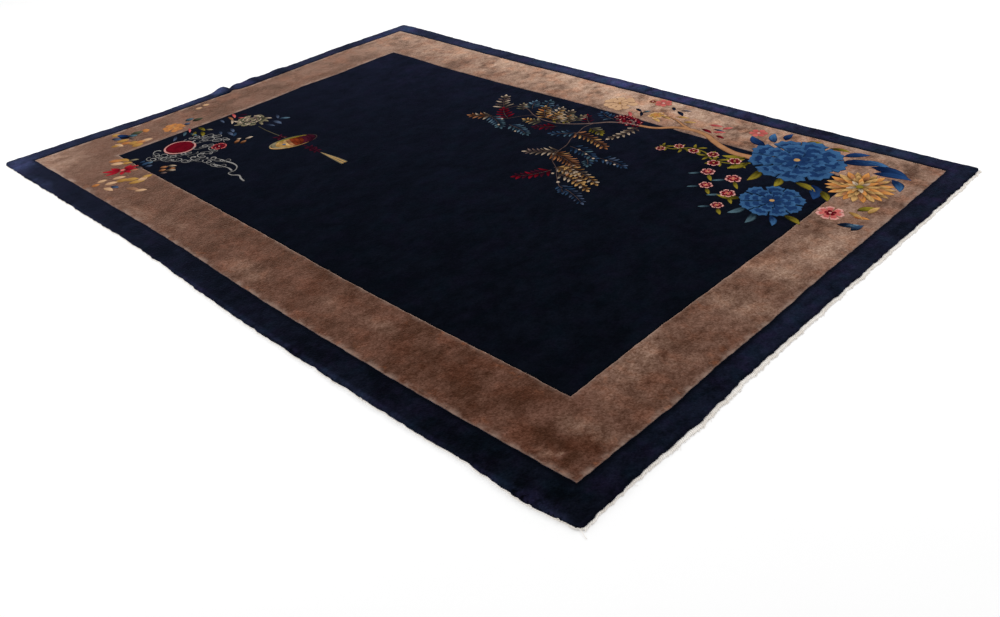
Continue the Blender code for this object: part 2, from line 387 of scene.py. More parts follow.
def woolFinish(name, look):
    finish = Finish(name)
    dyeAndLight = finish.painted("dyeAndLight")
    variety = finish.painted("variety")
    tufts = finish.cells(wool["tufts"], "Color")
    tuftLevel = finish.node("ShaderNodeSeparateColor", {}, {"Color": tufts}, "Red")
    clumps, dye, patches = (finish.noise(*wool[key]) for key in ("clumps", "dye", "patches"))

    def blotches(key):
        return finish.graded(finish.noise(*wool[key]), wool[key + "Ends"])

    drift = dye * wool["dyeShare"] + patches * (1 - wool["dyeShare"]) - 0.5
    uneven = drift * variety * wool["contrast"]
    mottle = finish.graded(uneven + dyeAndLight * wool["dyeAndLightShift"] + 0.5, wool["mottleEnds"])
    coloured = finish.blend(mottle, look["dark"], look["light"])
    # painted light: where the patches are painted lighter, the colour is drawn towards a pale tone, as sheen
    # seen from low down and as lit flanks
    lightening = dyeAndLight * (drift * wool["patchLightening"] + wool["lightening"])
    coloured = finish.blend(lightening, coloured, look["lightenedTone"])
    hues = variety * wool["hues"]
    coloured = finish.blend(blotches("warm") * hues, coloured, look["warm"], "MULTIPLY")
    coloured = finish.blend(blotches("cool") * hues, coloured, look["cool"], "MULTIPLY")
    if "stain" in look:
        stains = blotches("stain") * finish.painted("hem") * wool["stains"]
        coloured = finish.blend(stains, coloured, look["stain"])
    grain = tuftLevel * wool["tuftShare"] + clumps * (1 - wool["tuftShare"])
    speckle = finish.blend(finish.graded(grain, wool["speckleEnds"]), look["speckle"], white)
    coloured = finish.blend(1.0, coloured, speckle, "MULTIPLY")
    # the pale lip along the tan's carved lines: partly worn yarn, partly a painted highlight on the carved
    # edge
    if look["lip"]:
        worn = blotches("wear") * finish.painted("lip") * look["lip"]
        coloured = finish.blend(worn, coloured, look["lineWearAndShade"])
    # the rim along the carved lines: a painted groove shadow on the navy band, a pale painted highlight on
    # the tan
    coloured = finish.blend(finish.painted("rim") * look["rim"], coloured, look["lineWearAndShade"])
    height = (1 - finish.cells(wool["tufts"], "Distance")) * wool["tuftHeight"] + clumps
    finish.fit({
        "Base Color": coloured,
        "Roughness": 1.0,
        "Specular IOR Level": 0.0,
        "Sheen Weight": look["sheen"],
        "Sheen Roughness": wool["sheenRoughness"],
        "Sheen Tint": look["sheenTint"],
        "Normal": finish.bump(height, wool["bump"], look["grain"]),
    })
    return finish


# Where each block is painted lighter or darker: place, reach along X and Y, and by how much. Partly uneven
# dye, partly painted light: lighter far and left sides for the pile's sheen seen from low down, darker near
# parts, and lit flanks and a shaded dip on the puckered end
dyeAndLightPatches = {
    "pile_field": (
        (0.0, 0.95, 2.20, 0.40, 0.06), (-1.25, 0.60, 0.50, 0.50, 0.08), (0.30, -0.75, 1.70, 0.35, -0.20),
    ),
    "pile_tan_band": (
        (-1.56, -1.05, 0.16, 0.13, 0.30), (-0.85, -0.98, 0.55, 0.18, -0.01),
        (-0.30, -0.94, 0.16, 0.16, -0.14), (0.03, -1.04, 0.14, 0.05, 0.10),
        (0.28, -0.96, 0.10, 0.12, -0.12), (0.43, -0.965, 0.10, 0.05, 0.07),
        (1.10, -0.98, 0.26, 0.18, -0.12), (0.05, -0.85, 1.30, 0.08, -0.16),
        (1.60, -1.04, 0.10, 0.08, -0.12), (1.50, -0.84, 0.20, 0.12, 0.05), (1.43, -0.58, 0.08, 0.13, 0.12),
        (1.50, -0.16, 0.16, 0.06, 0.15), (1.50, 0.08, 0.16, 0.06, 0.12), (1.58, 0.36, 0.08, 0.18, 0.14),
        (1.50, -0.40, 0.20, 0.50, 0.04), (1.50, 0.40, 0.20, 0.40, 0.12), (1.50, 0.92, 0.22, 0.28, 0.14),
        (-0.45, 1.13, 1.15, 0.27, 0.43), (0.62, 1.04, 0.20, 0.20, 0.08), (1.05, 1.04, 0.35, 0.22, 0.22),
        (-0.90, 0.96, 0.05, 0.13, -0.20), (-1.35, 0.98, 0.05, 0.12, -0.10),
        (-0.60, 0.94, 0.05, 0.10, -0.10), (-0.75, 1.04, 0.05, 0.12, 0.12), (-1.20, 1.00, 0.05, 0.10, 0.10),
        (0.14, 1.08, 0.26, 0.14, 0.16), (0.16, 0.97, 0.17, 0.07, 0.14), (0.40, 1.03, 0.14, 0.10, 0.14),
        (1.42, -1.005, 0.022, 0.012, -0.50), (1.46, -1.012, 0.022, 0.012, -0.50),
        (1.50, -1.005, 0.02, 0.014, -0.45), (1.535, -1.005, 0.02, 0.014, -0.40),
        (1.555, -1.03, 0.014, 0.02, -0.45), (1.555, -1.065, 0.016, 0.02, -0.40),
        (1.50, -1.06, 0.035, 0.022, 0.14), (1.528, -1.036, 0.008, 0.008, 0.30),
        (0.79, -1.035, 0.03, 0.02, -0.35), (-0.76, -1.065, 0.12, 0.03, 0.12),
        (-0.49, -1.015, 0.12, 0.045, 0.10), (0.06, -0.91, 0.12, 0.04, 0.09),
        (-0.29, -0.92, 0.12, 0.045, -0.12), (-0.26, -1.095, 0.14, 0.025, -0.14),
        (0.36, -0.90, 0.12, 0.025, -0.10), (0.83, -1.07, 0.10, 0.025, -0.12),
        (0.70, -0.95, 0.10, 0.04, 0.10), (1.53, -0.93, 0.09, 0.05, 0.12),
        (-1.50, -0.24, 0.20, 0.16, -0.12), (-1.50, 0.38, 0.20, 0.25, 0.04),
        (-1.50, 0.95, 0.25, 0.22, 0.14),
    ),
    "pile_outer_band": (
        (-1.66, -1.16, 0.10, 0.08, 0.44), (-1.36, -1.19, 0.09, 0.05, 0.22),
        (-0.90, -1.17, 0.40, 0.06, -0.06), (-0.20, 1.17, 1.10, 0.06, 0.22), (0.02, 1.17, 0.26, 0.06, 0.20),
        (0.50, 1.17, 0.16, 0.06, 0.14), (-0.70, 1.17, 0.15, 0.06, -0.14), (1.40, 1.17, 0.50, 0.06, 0.08),
        # at x -1.69 from y -0.3 to 0.24: painted highlight on the puckers' lit flanks, and painted shade in
        # the dip beside the highest one
        (-1.69, 0.30, 0.06, 0.60, 0.04), (1.69, 0.00, 0.06, 0.90, 0.06), (-1.69, -0.28, 0.05, 0.07, 0.34),
        (-1.69, 0.005, 0.05, 0.025, 0.25), (-1.69, -0.80, 0.06, 0.40, 0.14),
        (-1.66, 1.10, 0.12, 0.20, 0.26), (-1.69, -0.105, 0.05, 0.040, 0.85),
        (-1.69, -0.045, 0.05, 0.018, -0.35), (-1.69, 0.075, 0.05, 0.025, 0.25),
        (-1.69, 0.235, 0.05, 0.030, 0.20), (0.40, -1.17, 1.60, 0.06, -0.20),
        # along the near edge: a painted highlight where the pile rolls over it, and painted shade in the
        # groove beside the tan
        (-0.75, -1.225, 0.70, 0.03, 0.20), (0.70, -1.222, 1.20, 0.025, 0.18),
        (1.60, -1.20, 0.12, 0.05, 0.16), (-0.90, -1.145, 0.70, 0.03, -0.16),
    ),
}
varieties = {  # how strongly the dye varies: along the rug, and more of it to the far and left sides
    "along": ((-1.30, -0.40, 0.60, 1.50), (0.85, 1.25, 1.40, 1.45)), "far": ((0.60, 0.92), (0.0, 1.2)),
    "left": ((-1.52, -1.34), (2.0, 0.0)), "leftFrom": ((-0.70, -0.30), (0.0, 1.0)),
}


def dyeAndLightAt(block, x, y):
    level = 0 * x
    for middleX, middleY, reachX, reachY, amount in dyeAndLightPatches[block]:
        level = level + amount * np.exp(-((x - middleX) / reachX) ** 2 - ((y - middleY) / reachY) ** 2)
    return level


def varietyAt(x, y):
    left = np.interp(x, *varieties["left"]) * np.interp(y, *varieties["leftFrom"])
    return np.interp(x, *varieties["along"]) + np.maximum(left, np.interp(y, *varieties["far"]))


# A block of pile: its top carved down at the lines, its sides down to the foundation
pile = {
    "step": 0.0115,
    "rimSteps": (0.0, 0.0012, 0.0026, 0.0045, 0.007, 0.0105),
    "carved": (-0.0050, -0.0026, -0.0011, -0.0002, 0.0003, 0.0),  # top's height at those steps
    "brushed": (-0.0030, -0.0014, -0.0006, -0.0002, 0.0, 0.0),  # the same along the rug's edges
    "wallRows": ((0.55, 0.0012), (0.85, 0.0008)),  # share of the wall's height and how far it stands out
    "wallTufts": (0.3, 1.6),  # least and most of that
    "outerLip": (1.0, (0.004, 0.024)), "innerLip": (0.6, (0.004, 0.020)),  # level, from and to where it fades
    "hem": (0.006, 0.060),
    "leftEnd": (-1.50, -1.05),  # the pale lip and rim along the lines, painted stronger at the left end as highlight where the carved edges catch the light from that side, fade from here to there
    "lipLevels": (0.75, 0.85), "rimLevels": (0.5, 0.5),  # all over, and what the left end adds
}


def marksAcross(lines):  # rows of points: close at each line, even between
    marks = set()
    for low, high in zip(lines, lines[1:]):
        inset = pile["rimSteps"]
        marks.update(low + step for step in inset)
        marks.update(high - step for step in inset)
        count = round((high - low - 2 * inset[-1]) / pile["step"])
        marks.update(np.linspace(low + inset[-1], high - inset[-1], count + 1))
    ordered = sorted(marks)
    kept = [ordered[0]]
    for mark in ordered[1:]:
        if mark - kept[-1] > 1e-6:
            kept.append(mark)
    return np.array(kept)


def toLines(x, y, lines):  # distance to a rectangle's outline, in the plain rectangle
    left, right, near, far = (lines[key] for key in ("left", "right", "near", "far"))
    besideX = np.maximum(np.maximum(left - x, x - right), 0)
    besideY = np.maximum(np.maximum(near - y, y - far), 0)
    inside = np.minimum(np.minimum(x - left, right - x), np.minimum(y - near, far - y))
    return np.where(inside >= 0, inside, np.hypot(besideX, besideY))


def roundCorners(x, y):  # draws the points near the rug's corners in to a round one
    radius = rug["cornerRadius"]
    overX = np.clip(np.abs(x) - (rug["halfLength"] - radius), 0, radius) / radius
    overY = np.clip(np.abs(y) - (rug["halfWidth"] - radius), 0, radius) / radius
    shrinkX = 1 - np.sqrt(1 - overY**2 / 2)
    shrinkY = 1 - np.sqrt(1 - overX**2 / 2)
    return x - np.sign(x) * overX * shrinkX * radius, y - np.sign(y) * overY * shrinkY * radius


def pileGrid(outer, inner):  # the points and quads of a block, without those in its hole
    outlines = [outer] + ([inner] if inner else [])
    xs = marksAcross(sorted(line[key] for line in outlines for key in ("left", "right")))
    ys = marksAcross(sorted(line[key] for line in outlines for key in ("near", "far")))
    flatX, flatY = (part.ravel() for part in np.meshgrid(xs, ys, indexing="ij"))
    quads = gridQuads(len(xs), len(ys))
    if inner:
        midX, midY = flatX[quads].mean(axis=1), flatY[quads].mean(axis=1)
        hole = (midX > inner["left"]) & (midX < inner["right"])
        hole &= (midY > inner["near"]) & (midY < inner["far"])
        quads = quads[~hole]
    used, renumbered = np.unique(quads, return_inverse=True)
    return flatX[used], flatY[used], renumbered.reshape(quads.shape)


def alongLines(flatX, flatY, outer, inner, atEdge, look):  # how far the top drops, and the tones of the wool
    drop = 0 * flatX
    tones = {"rim": drop, "lip": drop, "hem": drop}
    for line, lip in ((outer, pile["outerLip"]), (inner, pile["innerLip"])):
        if line is None:
            continue
        away = toLines(flatX, flatY, line)
        if line is outer and atEdge:
            drop = drop + np.interp(away, pile["rimSteps"], pile["brushed"])
            continue
        drop = drop + np.interp(away, pile["rimSteps"], pile["carved"]) * look["carving"]
        there = {"rim": np.interp(away, look["rimAt"], look["rimShape"]),
                 "lip": lip[0] * np.interp(away, lip[1], (1, 0)),
                 "hem": np.interp(away, pile["hem"], (1, 0))}
        tones = {key: np.maximum(tones[key], there[key]) for key in tones}
    # the lip and rim are painted stronger towards the left end, as highlight where the carved edges catch the
    # light from the left
    atLeft = np.interp(flatX, pile["leftEnd"], (1.0, 0.0))
    for key in ("rim", "lip"):
        level, more = pile[key + "Levels"]
        if key == "lip" or look["rimShape"][0] == 0:
            tones[key] = tones[key] * (level + more * atLeft)
    return drop, tones


def pileBlock(name, outer, inner, atEdge, look, finish):
    flatX, flatY, quads = pileGrid(outer, inner)
    total = len(flatX)
    drop, tones = alongLines(flatX, flatY, outer, inner, atEdge, look)
    raised = lift(flatX, flatY)
    cutX, cutY = roundCorners(flatX, flatY) if atEdge else (flatX, flatY)
    realX, realY = place(cutX, cutY)
    top = pileTopAt(realX, realY) + drop + raised
    bottom = rug["foundation"] + raised
    levels = [np.stack([realX, realY, height], axis=1) for height in (top, bottom)]
    faces = quads.tolist() + (quads[:, ::-1] + total).tolist()

    boundary = outlineOf(quads)
    rim = np.unique(boundary)
    outwardX = np.sign(flatX[rim]) * (np.abs(flatX[rim]) > rug["halfLength"] - 1e-6)
    outwardY = np.sign(flatY[rim]) * (np.abs(flatY[rim]) > rug["halfWidth"] - 1e-6)
    rows = [np.arange(total)]
    for share, out in pile["wallRows"]:
        tuft = out * chance.uniform(*pile["wallTufts"], len(rim))
        row = np.full(total, -1)
        row[rim] = sum(len(level) for level in levels) + np.arange(len(rim))
        rows.append(row)
        levels.append(np.stack([
            realX[rim] + outwardX * tuft,
            realY[rim] + outwardY * tuft,
            top[rim] + (bottom[rim] - top[rim]) * share,
        ], axis=1))
    rows.append(np.arange(total) + total)
    start, end = boundary.T
    for upper, lower in zip(rows, rows[1:]):
        faces += np.stack([upper[end], upper[start], lower[start], lower[end]], axis=1).tolist()
    points = np.concatenate(levels)
    allX, allY = points[:, 0], points[:, 1]
    painted = {"dyeAndLight": dyeAndLightAt(name, allX, allY), "variety": varietyAt(allX, allY)}
    for key, level in tones.items():
        painted[key] = np.concatenate([level, np.zeros(len(points) - total)])
    return addPiece(name, points.tolist(), faces, finish, painted)


rugEdge = {"left": -rug["halfLength"], "right": rug["halfLength"],
           "near": -rug["halfWidth"], "far": rug["halfWidth"]}
pileBlocks = (  # name, outline, hole, whether its outline is the rug's edge, look
    ("pile_field", rug["innerLine"], None, False, "navy_field"),
    ("pile_tan_band", rug["outerLine"], rug["innerLine"], False, "tan_band"),
    ("pile_outer_band", rugEdge, rug["outerLine"], True, "navy_band"),
)
for name, outer, inner, atEdge, key in pileBlocks:
    look = woolLooks[key]
    pileBlock(name, outer, inner, atEdge, look, woolFinish(key, look))


# The outermost knots, which lean out over the foundation's edge as a ragged row of tufts
edgeTufts = {
    "pitch": 0.0056, "across": 0.0031, "along": 0.0036, "tall": 0.0048, "middle": 0.0058, "sides": 7,
    "levels": ((-0.85, 0.62), (-0.2, 1.0), (0.45, 0.86), (0.88, 0.42)),  # shares of height and width
    "out": (-0.0034, -0.0014), "clump": 0.0014, "clumpWaves": (2.1, 0.83),  # how far out they stand
    "sizes": (0.85, 1.2), "heights": (0.85, 1.1), "lean": 0.0012, "tuckIn": 0.0004,
}


def edgeWalk(pitch):  # places along the rug's outline on the plain rectangle, and the way out from each
    radius = rug["cornerRadius"]
    halfX, halfY = rug["halfLength"] - radius, rug["halfWidth"] - radius
    corners = ((halfX, -halfY), (halfX, halfY), (-halfX, halfY), (-halfX, -halfY))
    spots, ways = [], []
    for quarter, corner in enumerate(corners):
        following = corners[(quarter + 1) % 4]
        square = quarter * math.pi / 2
        length = math.dist(corner, following)
        stops = [(corner, turn + square) for turn in np.linspace(-math.pi / 2, 0, 5)[:-1]]
        for share in np.arange(0, length, pitch) / length:
            stops.append(([start + (end - start) * share for start, end in zip(corner, following)], square))
        for (x, y), turn in stops:
            way = (math.cos(turn), math.sin(turn))
            spots.append((x + radius * way[0], y + radius * way[1]))
            ways.append(way)
    return np.array(spots), np.array(ways)


def makeEdgeTufts(finish):
    spots, ways = edgeWalk(edgeTufts["pitch"])
    realX, realY = place(spots[:, 0], spots[:, 1])
    raised = lift(spots[:, 0], spots[:, 1])
    first, second = (np.arange(len(spots)) * wave for wave in edgeTufts["clumpWaves"])
    clumps = edgeTufts["clump"] * (np.sin(first) * np.sin(second + 1))
    sides = edgeTufts["sides"]
    points, faces = [], []
    for (wayX, wayY), x, y, up, clump in zip(ways, realX, realY, raised, clumps):
        out = chance.uniform(*edgeTufts["out"]) + clump
        size = chance.uniform(*edgeTufts["sizes"])
        tall = edgeTufts["tall"] * chance.uniform(*edgeTufts["heights"])
        lean = chance.uniform(-edgeTufts["lean"], edgeTufts["lean"])
        across, along = edgeTufts["across"] * size, edgeTufts["along"] * size
        sewTube(faces, len(points), len(edgeTufts["levels"]), sides)
        for level, wide in edgeTufts["levels"]:
            for turn in np.arange(sides) * 2 * math.pi / sides:
                outward = out + across * wide * math.cos(turn) - edgeTufts["tuckIn"] * level
                aside = along * wide * math.sin(turn) + lean * level
                points.append((x + wayX * outward - wayY * aside, y + wayY * outward + wayX * aside,
                               edgeTufts["middle"] + tall * level + up))
    return addPiece("pile_edge_tufts", points, faces, finish, {"variety": np.ones(len(points))})


makeEdgeTufts(woolFinish("navy_edge", woolLooks["navy_band"]))


# The knotted cotton foundation under the pile, its back in pale cotton with rows of knots in its bump
foundation = {
    "inset": 0.004, "gap": 0.0001, "columns": 74, "rows": 54, "foldRows": (-0.16, 0.36, 53),
    "base": shade(200, 190, 168), "worn": 0.7, "knot": 0.0034,
    "weave": (180.0, 2.0, 0.5, (1.0, 3.0)), "bump": (0.0006, 0.6), "rowShare": 0.5, "roughness": 0.9,
}


def foundationFinish():
    finish = Finish("foundation_back")
    along = finish.node("ShaderNodeSeparateXYZ", {}, {"Vector": finish.spot()}, "X")
    rows = along.maths("SINE", along * (2 * math.pi / foundation["knot"]))
    weave = finish.noise(*foundation["weave"])
    colour = finish.blend(weave, foundation["base"], scaled(foundation["base"], foundation["worn"]))
    height = rows * foundation["rowShare"] + weave
    finish.fit({"Base Color": colour, "Roughness": foundation["roughness"],
                "Normal": finish.bump(height, *foundation["bump"])})
    return finish


def makeFoundation():
    halfX, halfY = rug["halfLength"] - foundation["inset"], rug["halfWidth"] - foundation["inset"]
    xs = np.linspace(-halfX, halfX, foundation["columns"])
    even = np.linspace(-halfY, halfY, foundation["rows"])
    ys = np.unique(np.concatenate([even, np.linspace(*foundation["foldRows"])]))
    flatX, flatY = (part.ravel() for part in np.meshgrid(xs, ys, indexing="ij"))
    raised = lift(flatX, flatY)
    cutX, cutY = roundCorners(flatX, flatY)
    realX, realY = place(cutX, cutY)
    total = len(flatX)
    quads = gridQuads(len(xs), len(ys))
    start, end = outlineOf(quads).T
    walls = np.stack([end, start, start + total, end + total], axis=1)
    thick = rug["foundation"] - foundation["gap"]
    points = np.concatenate([np.stack([realX, realY, height], axis=1) for height in (raised + thick, raised)])
    faces = quads.tolist() + (quads[:, ::-1] + total).tolist() + walls.tolist()
    return addPiece("foundation", points.tolist(), faces, foundationFinish())


foundationPiece = makeFoundation()
print("foundation made")


# Motifs: low raised shapes of coloured pile, gathered by yarn: its darkest and lightest dye
yarnLooks = {
    "cream": (46, 37, 31, 186, 166, 144), "khaki": (44, 42, 32, 126, 116, 92),
    "straw": (124, 92, 46, 184, 147, 92), "sand": (158, 124, 96, 190, 154, 120),
    "amber": (130, 94, 50, 168, 130, 68), "apricot": (136, 86, 50, 176, 118, 68),
    "gold": (54, 32, 14, 188, 148, 94), "bronze": (46, 25, 14, 162, 110, 74),
    "orange": (126, 72, 36, 196, 136, 74), "rust": (62, 20, 12, 126, 52, 26),
    "olive": (46, 42, 12, 130, 116, 38), "blue": (9, 16, 30, 46, 68, 94),
    "sky": (20, 32, 48, 92, 118, 134), "teal": (14, 24, 34, 74, 98, 108),
    "slate": (16, 21, 34, 72, 84, 106), "azure": (14, 30, 60, 56, 94, 134),
    "cobalt": (10, 22, 50, 32, 60, 102), "moss": (20, 22, 20, 78, 80, 62), "red": (44, 4, 12, 112, 14, 28),
    "crimson": (92, 10, 22, 152, 26, 40), "maroon": (28, 8, 18, 60, 18, 32),
    "pink": (134, 52, 54, 190, 100, 94), "ivory": (52, 52, 54, 148, 145, 141),
    "rose": (150, 90, 88, 208, 156, 146), "branch": (92, 58, 38, 168, 122, 86),
    "mauve": (40, 32, 32, 112, 92, 86), "inkBlue": (6, 9, 18, 14, 22, 42),
    "umber": (36, 24, 18, 58, 38, 30), "fawn": (112, 80, 62, 150, 112, 88),
}
motif = {
    "height": 0.0011, "depth": 0.0035, "inset": 0.80, "shoulder": 0.0007, "peak": 0.0002,
    # the foot and shoulder of each raised shape are painted darker, as shade where it is carved down into the
    # pile
    "footTone": -0.30, "shoulderTone": -0.18,
    "contour": 0.0022, "contourDrop": 0.0009, "contourTone": 0.5,  # the outline of a leaf or petal, in a second yarn; a dark one is painted shade of the carved groove round it
    "leafSections": 7, "leafShape": (0.85, 0.8, 0.08),  # where it is widest, how full, its narrowest
    "leafTones": (0.35, 0.7), "leafShading": (1.25, 0.58), "bend": 0.06,
}

# Across a leaf or a ribbon: place as a share of half its width, height, how much lighter. The foot and
# shoulder at each side are painted darker, as shade in the carved groove round it
leafProfile = ((1, None, -0.35), (1, -0.0006, -0.22), (0.5, 0.0001, 0.16), (0, -0.0004, -0.08),
               (-0.5, 0.0, 0.04), (-1, -0.0006, -0.28), (-1, None, -0.35))
ribbonProfile = ((1, None, -0.25), (1, -0.0006, -0.15), (0.5, 0.0, 0.06),
                 (-0.5, 0.0, 0.06), (-1, -0.0006, -0.15), (-1, None, -0.25))


class YarnHeap:  # the shapes of one yarn, until they are made into a piece
    def __init__(self):
        self.points = []
        self.faces = []
        self.tones = []

    def ring(self, spots, heights, tones):
        start = len(self.points)
        self.points += [(*spot, height) for spot, height in zip(spots, heights)]
        self.tones += list(tones)
        return list(range(start, start + len(spots)))

    def sew(self, lower, upper):
        count = len(lower)
        for this in range(count):
            following = (this + 1) % count
            self.faces.append((lower[this], lower[following], upper[following], upper[this]))


yarns = {name: YarnHeap() for name in yarnLooks}


def addShape(yarn, outline, height=0.0, tone=0.5, lighter=0.0):  # outline runs counter-clockwise
    heap = yarns[yarn]
    outline = np.asarray(outline)
    middle = outline.mean(axis=0)
    ground = pileTopAt(outline[:, 0], outline[:, 1])
    tones = tone + lighter * np.ones(len(outline))
    rise = motif["height"] + height
    within = middle + (outline - middle) * motif["inset"]
    # foot and shoulder rings painted darker, as shade in the carved groove
    foot = heap.ring(outline.tolist(), ground - motif["depth"], tones + motif["footTone"])
    shoulder = heap.ring(outline.tolist(), ground + rise - motif["shoulder"], tones + motif["shoulderTone"])
    crown = heap.ring(within.tolist(), ground + rise, tones)
    peak = heap.ring([middle.tolist()], [float(ground.mean()) + rise + motif["peak"]], [tone])[0]
    heap.sew(foot, shoulder)
    heap.sew(shoulder, crown)
    for this in range(len(crown)):
        heap.faces.append((crown[this], crown[(this + 1) % len(crown)], peak))
    heap.faces.append(tuple(reversed(foot)))


def headings(route):  # unit vectors along a flat route and to its left
    along = np.gradient(route, axis=0)
    along /= np.linalg.norm(along, axis=1)[:, None] + 1e-9
    return along, np.stack([-along[:, 1], along[:, 0]], axis=1)


def addRibbon(yarn, route, widths, height=0.0, tones=0.5, profile=ribbonProfile):
    heap = yarns[yarn]
    route = np.asarray(route)
    _, aside = headings(route)
    ground = pileTopAt(route[:, 0], route[:, 1])
    widths, tones = widths + np.zeros(len(route)), tones + np.zeros(len(route))
    rise = motif["height"] + height + np.zeros(len(route))
    sections = []
    for spot, side, width, level, over, tone in zip(route, aside, widths, ground, rise, tones):
        edges = [(spot + side * (width / 2 * share)).tolist() for share, _, _ in profile]
        heights = [level + (-motif["depth"] if up is None else over + up) for _, up, _ in profile]
        sections.append(heap.ring(edges, heights, [tone + lighter for _, _, lighter in profile]))
    for first, second in zip(sections, sections[1:]):
        heap.sew(second, first)
    heap.faces.append(tuple(sections[0]))
    heap.faces.append(tuple(reversed(sections[-1])))


def smoothRoute(knots, count):  # an even walk along a curve through a few given points in millimetres
    knots = np.asarray(knots) / 1000
    steps = np.concatenate([[0], np.cumsum(np.linalg.norm(np.diff(knots, axis=0), axis=1))])
    slopes = np.gradient(knots, steps, axis=0)
    walk = np.linspace(0, steps[-1], count)
    piece = np.clip(np.searchsorted(steps, walk) - 1, 0, len(knots) - 2)
    length = (steps[piece + 1] - steps[piece])[:, None]
    share = (walk - steps[piece])[:, None] / length
    start, end = knots[piece], knots[piece + 1]
    return (
        start * (1 + 2 * share) * (1 - share) ** 2
        + slopes[piece] * length * share * (1 - share) ** 2
        + end * share**2 * (3 - 2 * share)
        + slopes[piece + 1] * length * share**2 * (share - 1)
    )


def turned(points, base, angle):
    cosine, sine = math.cos(angle), math.sin(angle)
    turn = np.array(((cosine, sine), (-sine, cosine)))
    return np.asarray(points) @ turn + np.asarray(base)


def addBlade(yarn, base, angle, length, width, bend, height, tones):
    shares = np.linspace(0, 1, motif["leafSections"])
    widest, fullness, narrowest = motif["leafShape"]
    shading, middle = motif["leafShading"]
    route = turned(np.stack([shares * length, bend * length * np.sin(np.pi * shares)], axis=1), base, angle)
    widths = width * np.maximum(np.sin(np.pi * shares**widest) ** fullness, narrowest)
    addRibbon(yarn, route, widths, height, tones + shading * (shares - middle), leafProfile)


def addLeaf(yarn, base, angle, length, width, bend=0.0, height=0.0, contour=None, tones=motif["leafTones"]):
    if contour:
        margin = motif["contour"]
        back = np.asarray(base) - margin * np.array((math.cos(angle), math.sin(angle)))
        longer, wider, lower = length + 2 * margin, width + 2 * margin, height - motif["contourDrop"]
        addBlade(contour, back, angle, longer, wider, bend, lower, motif["contourTone"])
    addBlade(yarn, base, angle, length, width, bend, height, chance.uniform(*tones))


def addLeaves(leaves, bend, contours):  # places and sizes in millimetres; contours says the outline's yarn
    for yarn, x, y, heading, length, width in leaves:
        base = (x / 1000, y / 1000)
        addLeaf(yarn, base, math.radians(heading), length / 1000, width / 1000, bend, 0.0, contours.get(yarn))


spray = {
    "tones": (0.02, 0.60), "stem": (0.0040, 0.0024), "stemHeight": -0.0005, "stemTone": 0.15, "bend": 0.06,
    "open": 0.95, "closing": 0.25, "sway": 0.08,  # a leaf's angle to the stem, less towards the tip
    "shortening": (1.06, 0.42), "lengths": (0.9, 1.1), "widths": (0.70, 0.95), "mates": 0.35,
    "pairsFrom": 0.35, "pairsTo": 0.1, "leafGap": 0.003, "leafBend": -0.08, "lastLeaf": (0.6, 0.9),
}


def addSpray(yarn, base, tip, pairs, length, width, mate):
    bend = spray["bend"]
    most, less = spray["shortening"]
    base, tip = np.asarray(base), np.asarray(tip)
    along = tip - base
    reach = float(np.linalg.norm(along))
    heading = math.atan2(along[1], along[0])
    shares = np.linspace(0, 1, 3 * pairs)
    route = turned(np.stack([shares * reach, bend * reach * np.sin(np.pi * shares)], axis=1), base, heading)
    addRibbon("mauve", route, np.linspace(*spray["stem"], len(route)), spray["stemHeight"], spray["stemTone"])
    for pair in range(pairs):
        share = (pair + spray["pairsFrom"]) / (pairs + spray["pairsTo"])
        spot = turned([[share * reach, bend * reach * math.sin(math.pi * share)]], base, heading)[0]
        slope = heading + math.atan(bend * math.pi * math.cos(math.pi * share))
        size = length * (most - less * share) * chance.uniform(*spray["lengths"])
        for side in (-1, 1):
            sway = chance.uniform(-spray["sway"], spray["sway"])
            angle = slope + side * (spray["open"] - spray["closing"] * share + sway)
            colour = mate if chance.random() < spray["mates"] else yarn
            start = spot + spray["leafGap"] * np.array((math.cos(angle), math.sin(angle)))
            wide = width * chance.uniform(*spray["widths"])
            addLeaf(colour, start, angle, size, wide, spray["leafBend"] * side, 0.0, None, spray["tones"])
    shorter, narrower = spray["lastLeaf"]
    addLeaf(yarn, tip, heading - bend * 2, length * shorter, width * narrower)


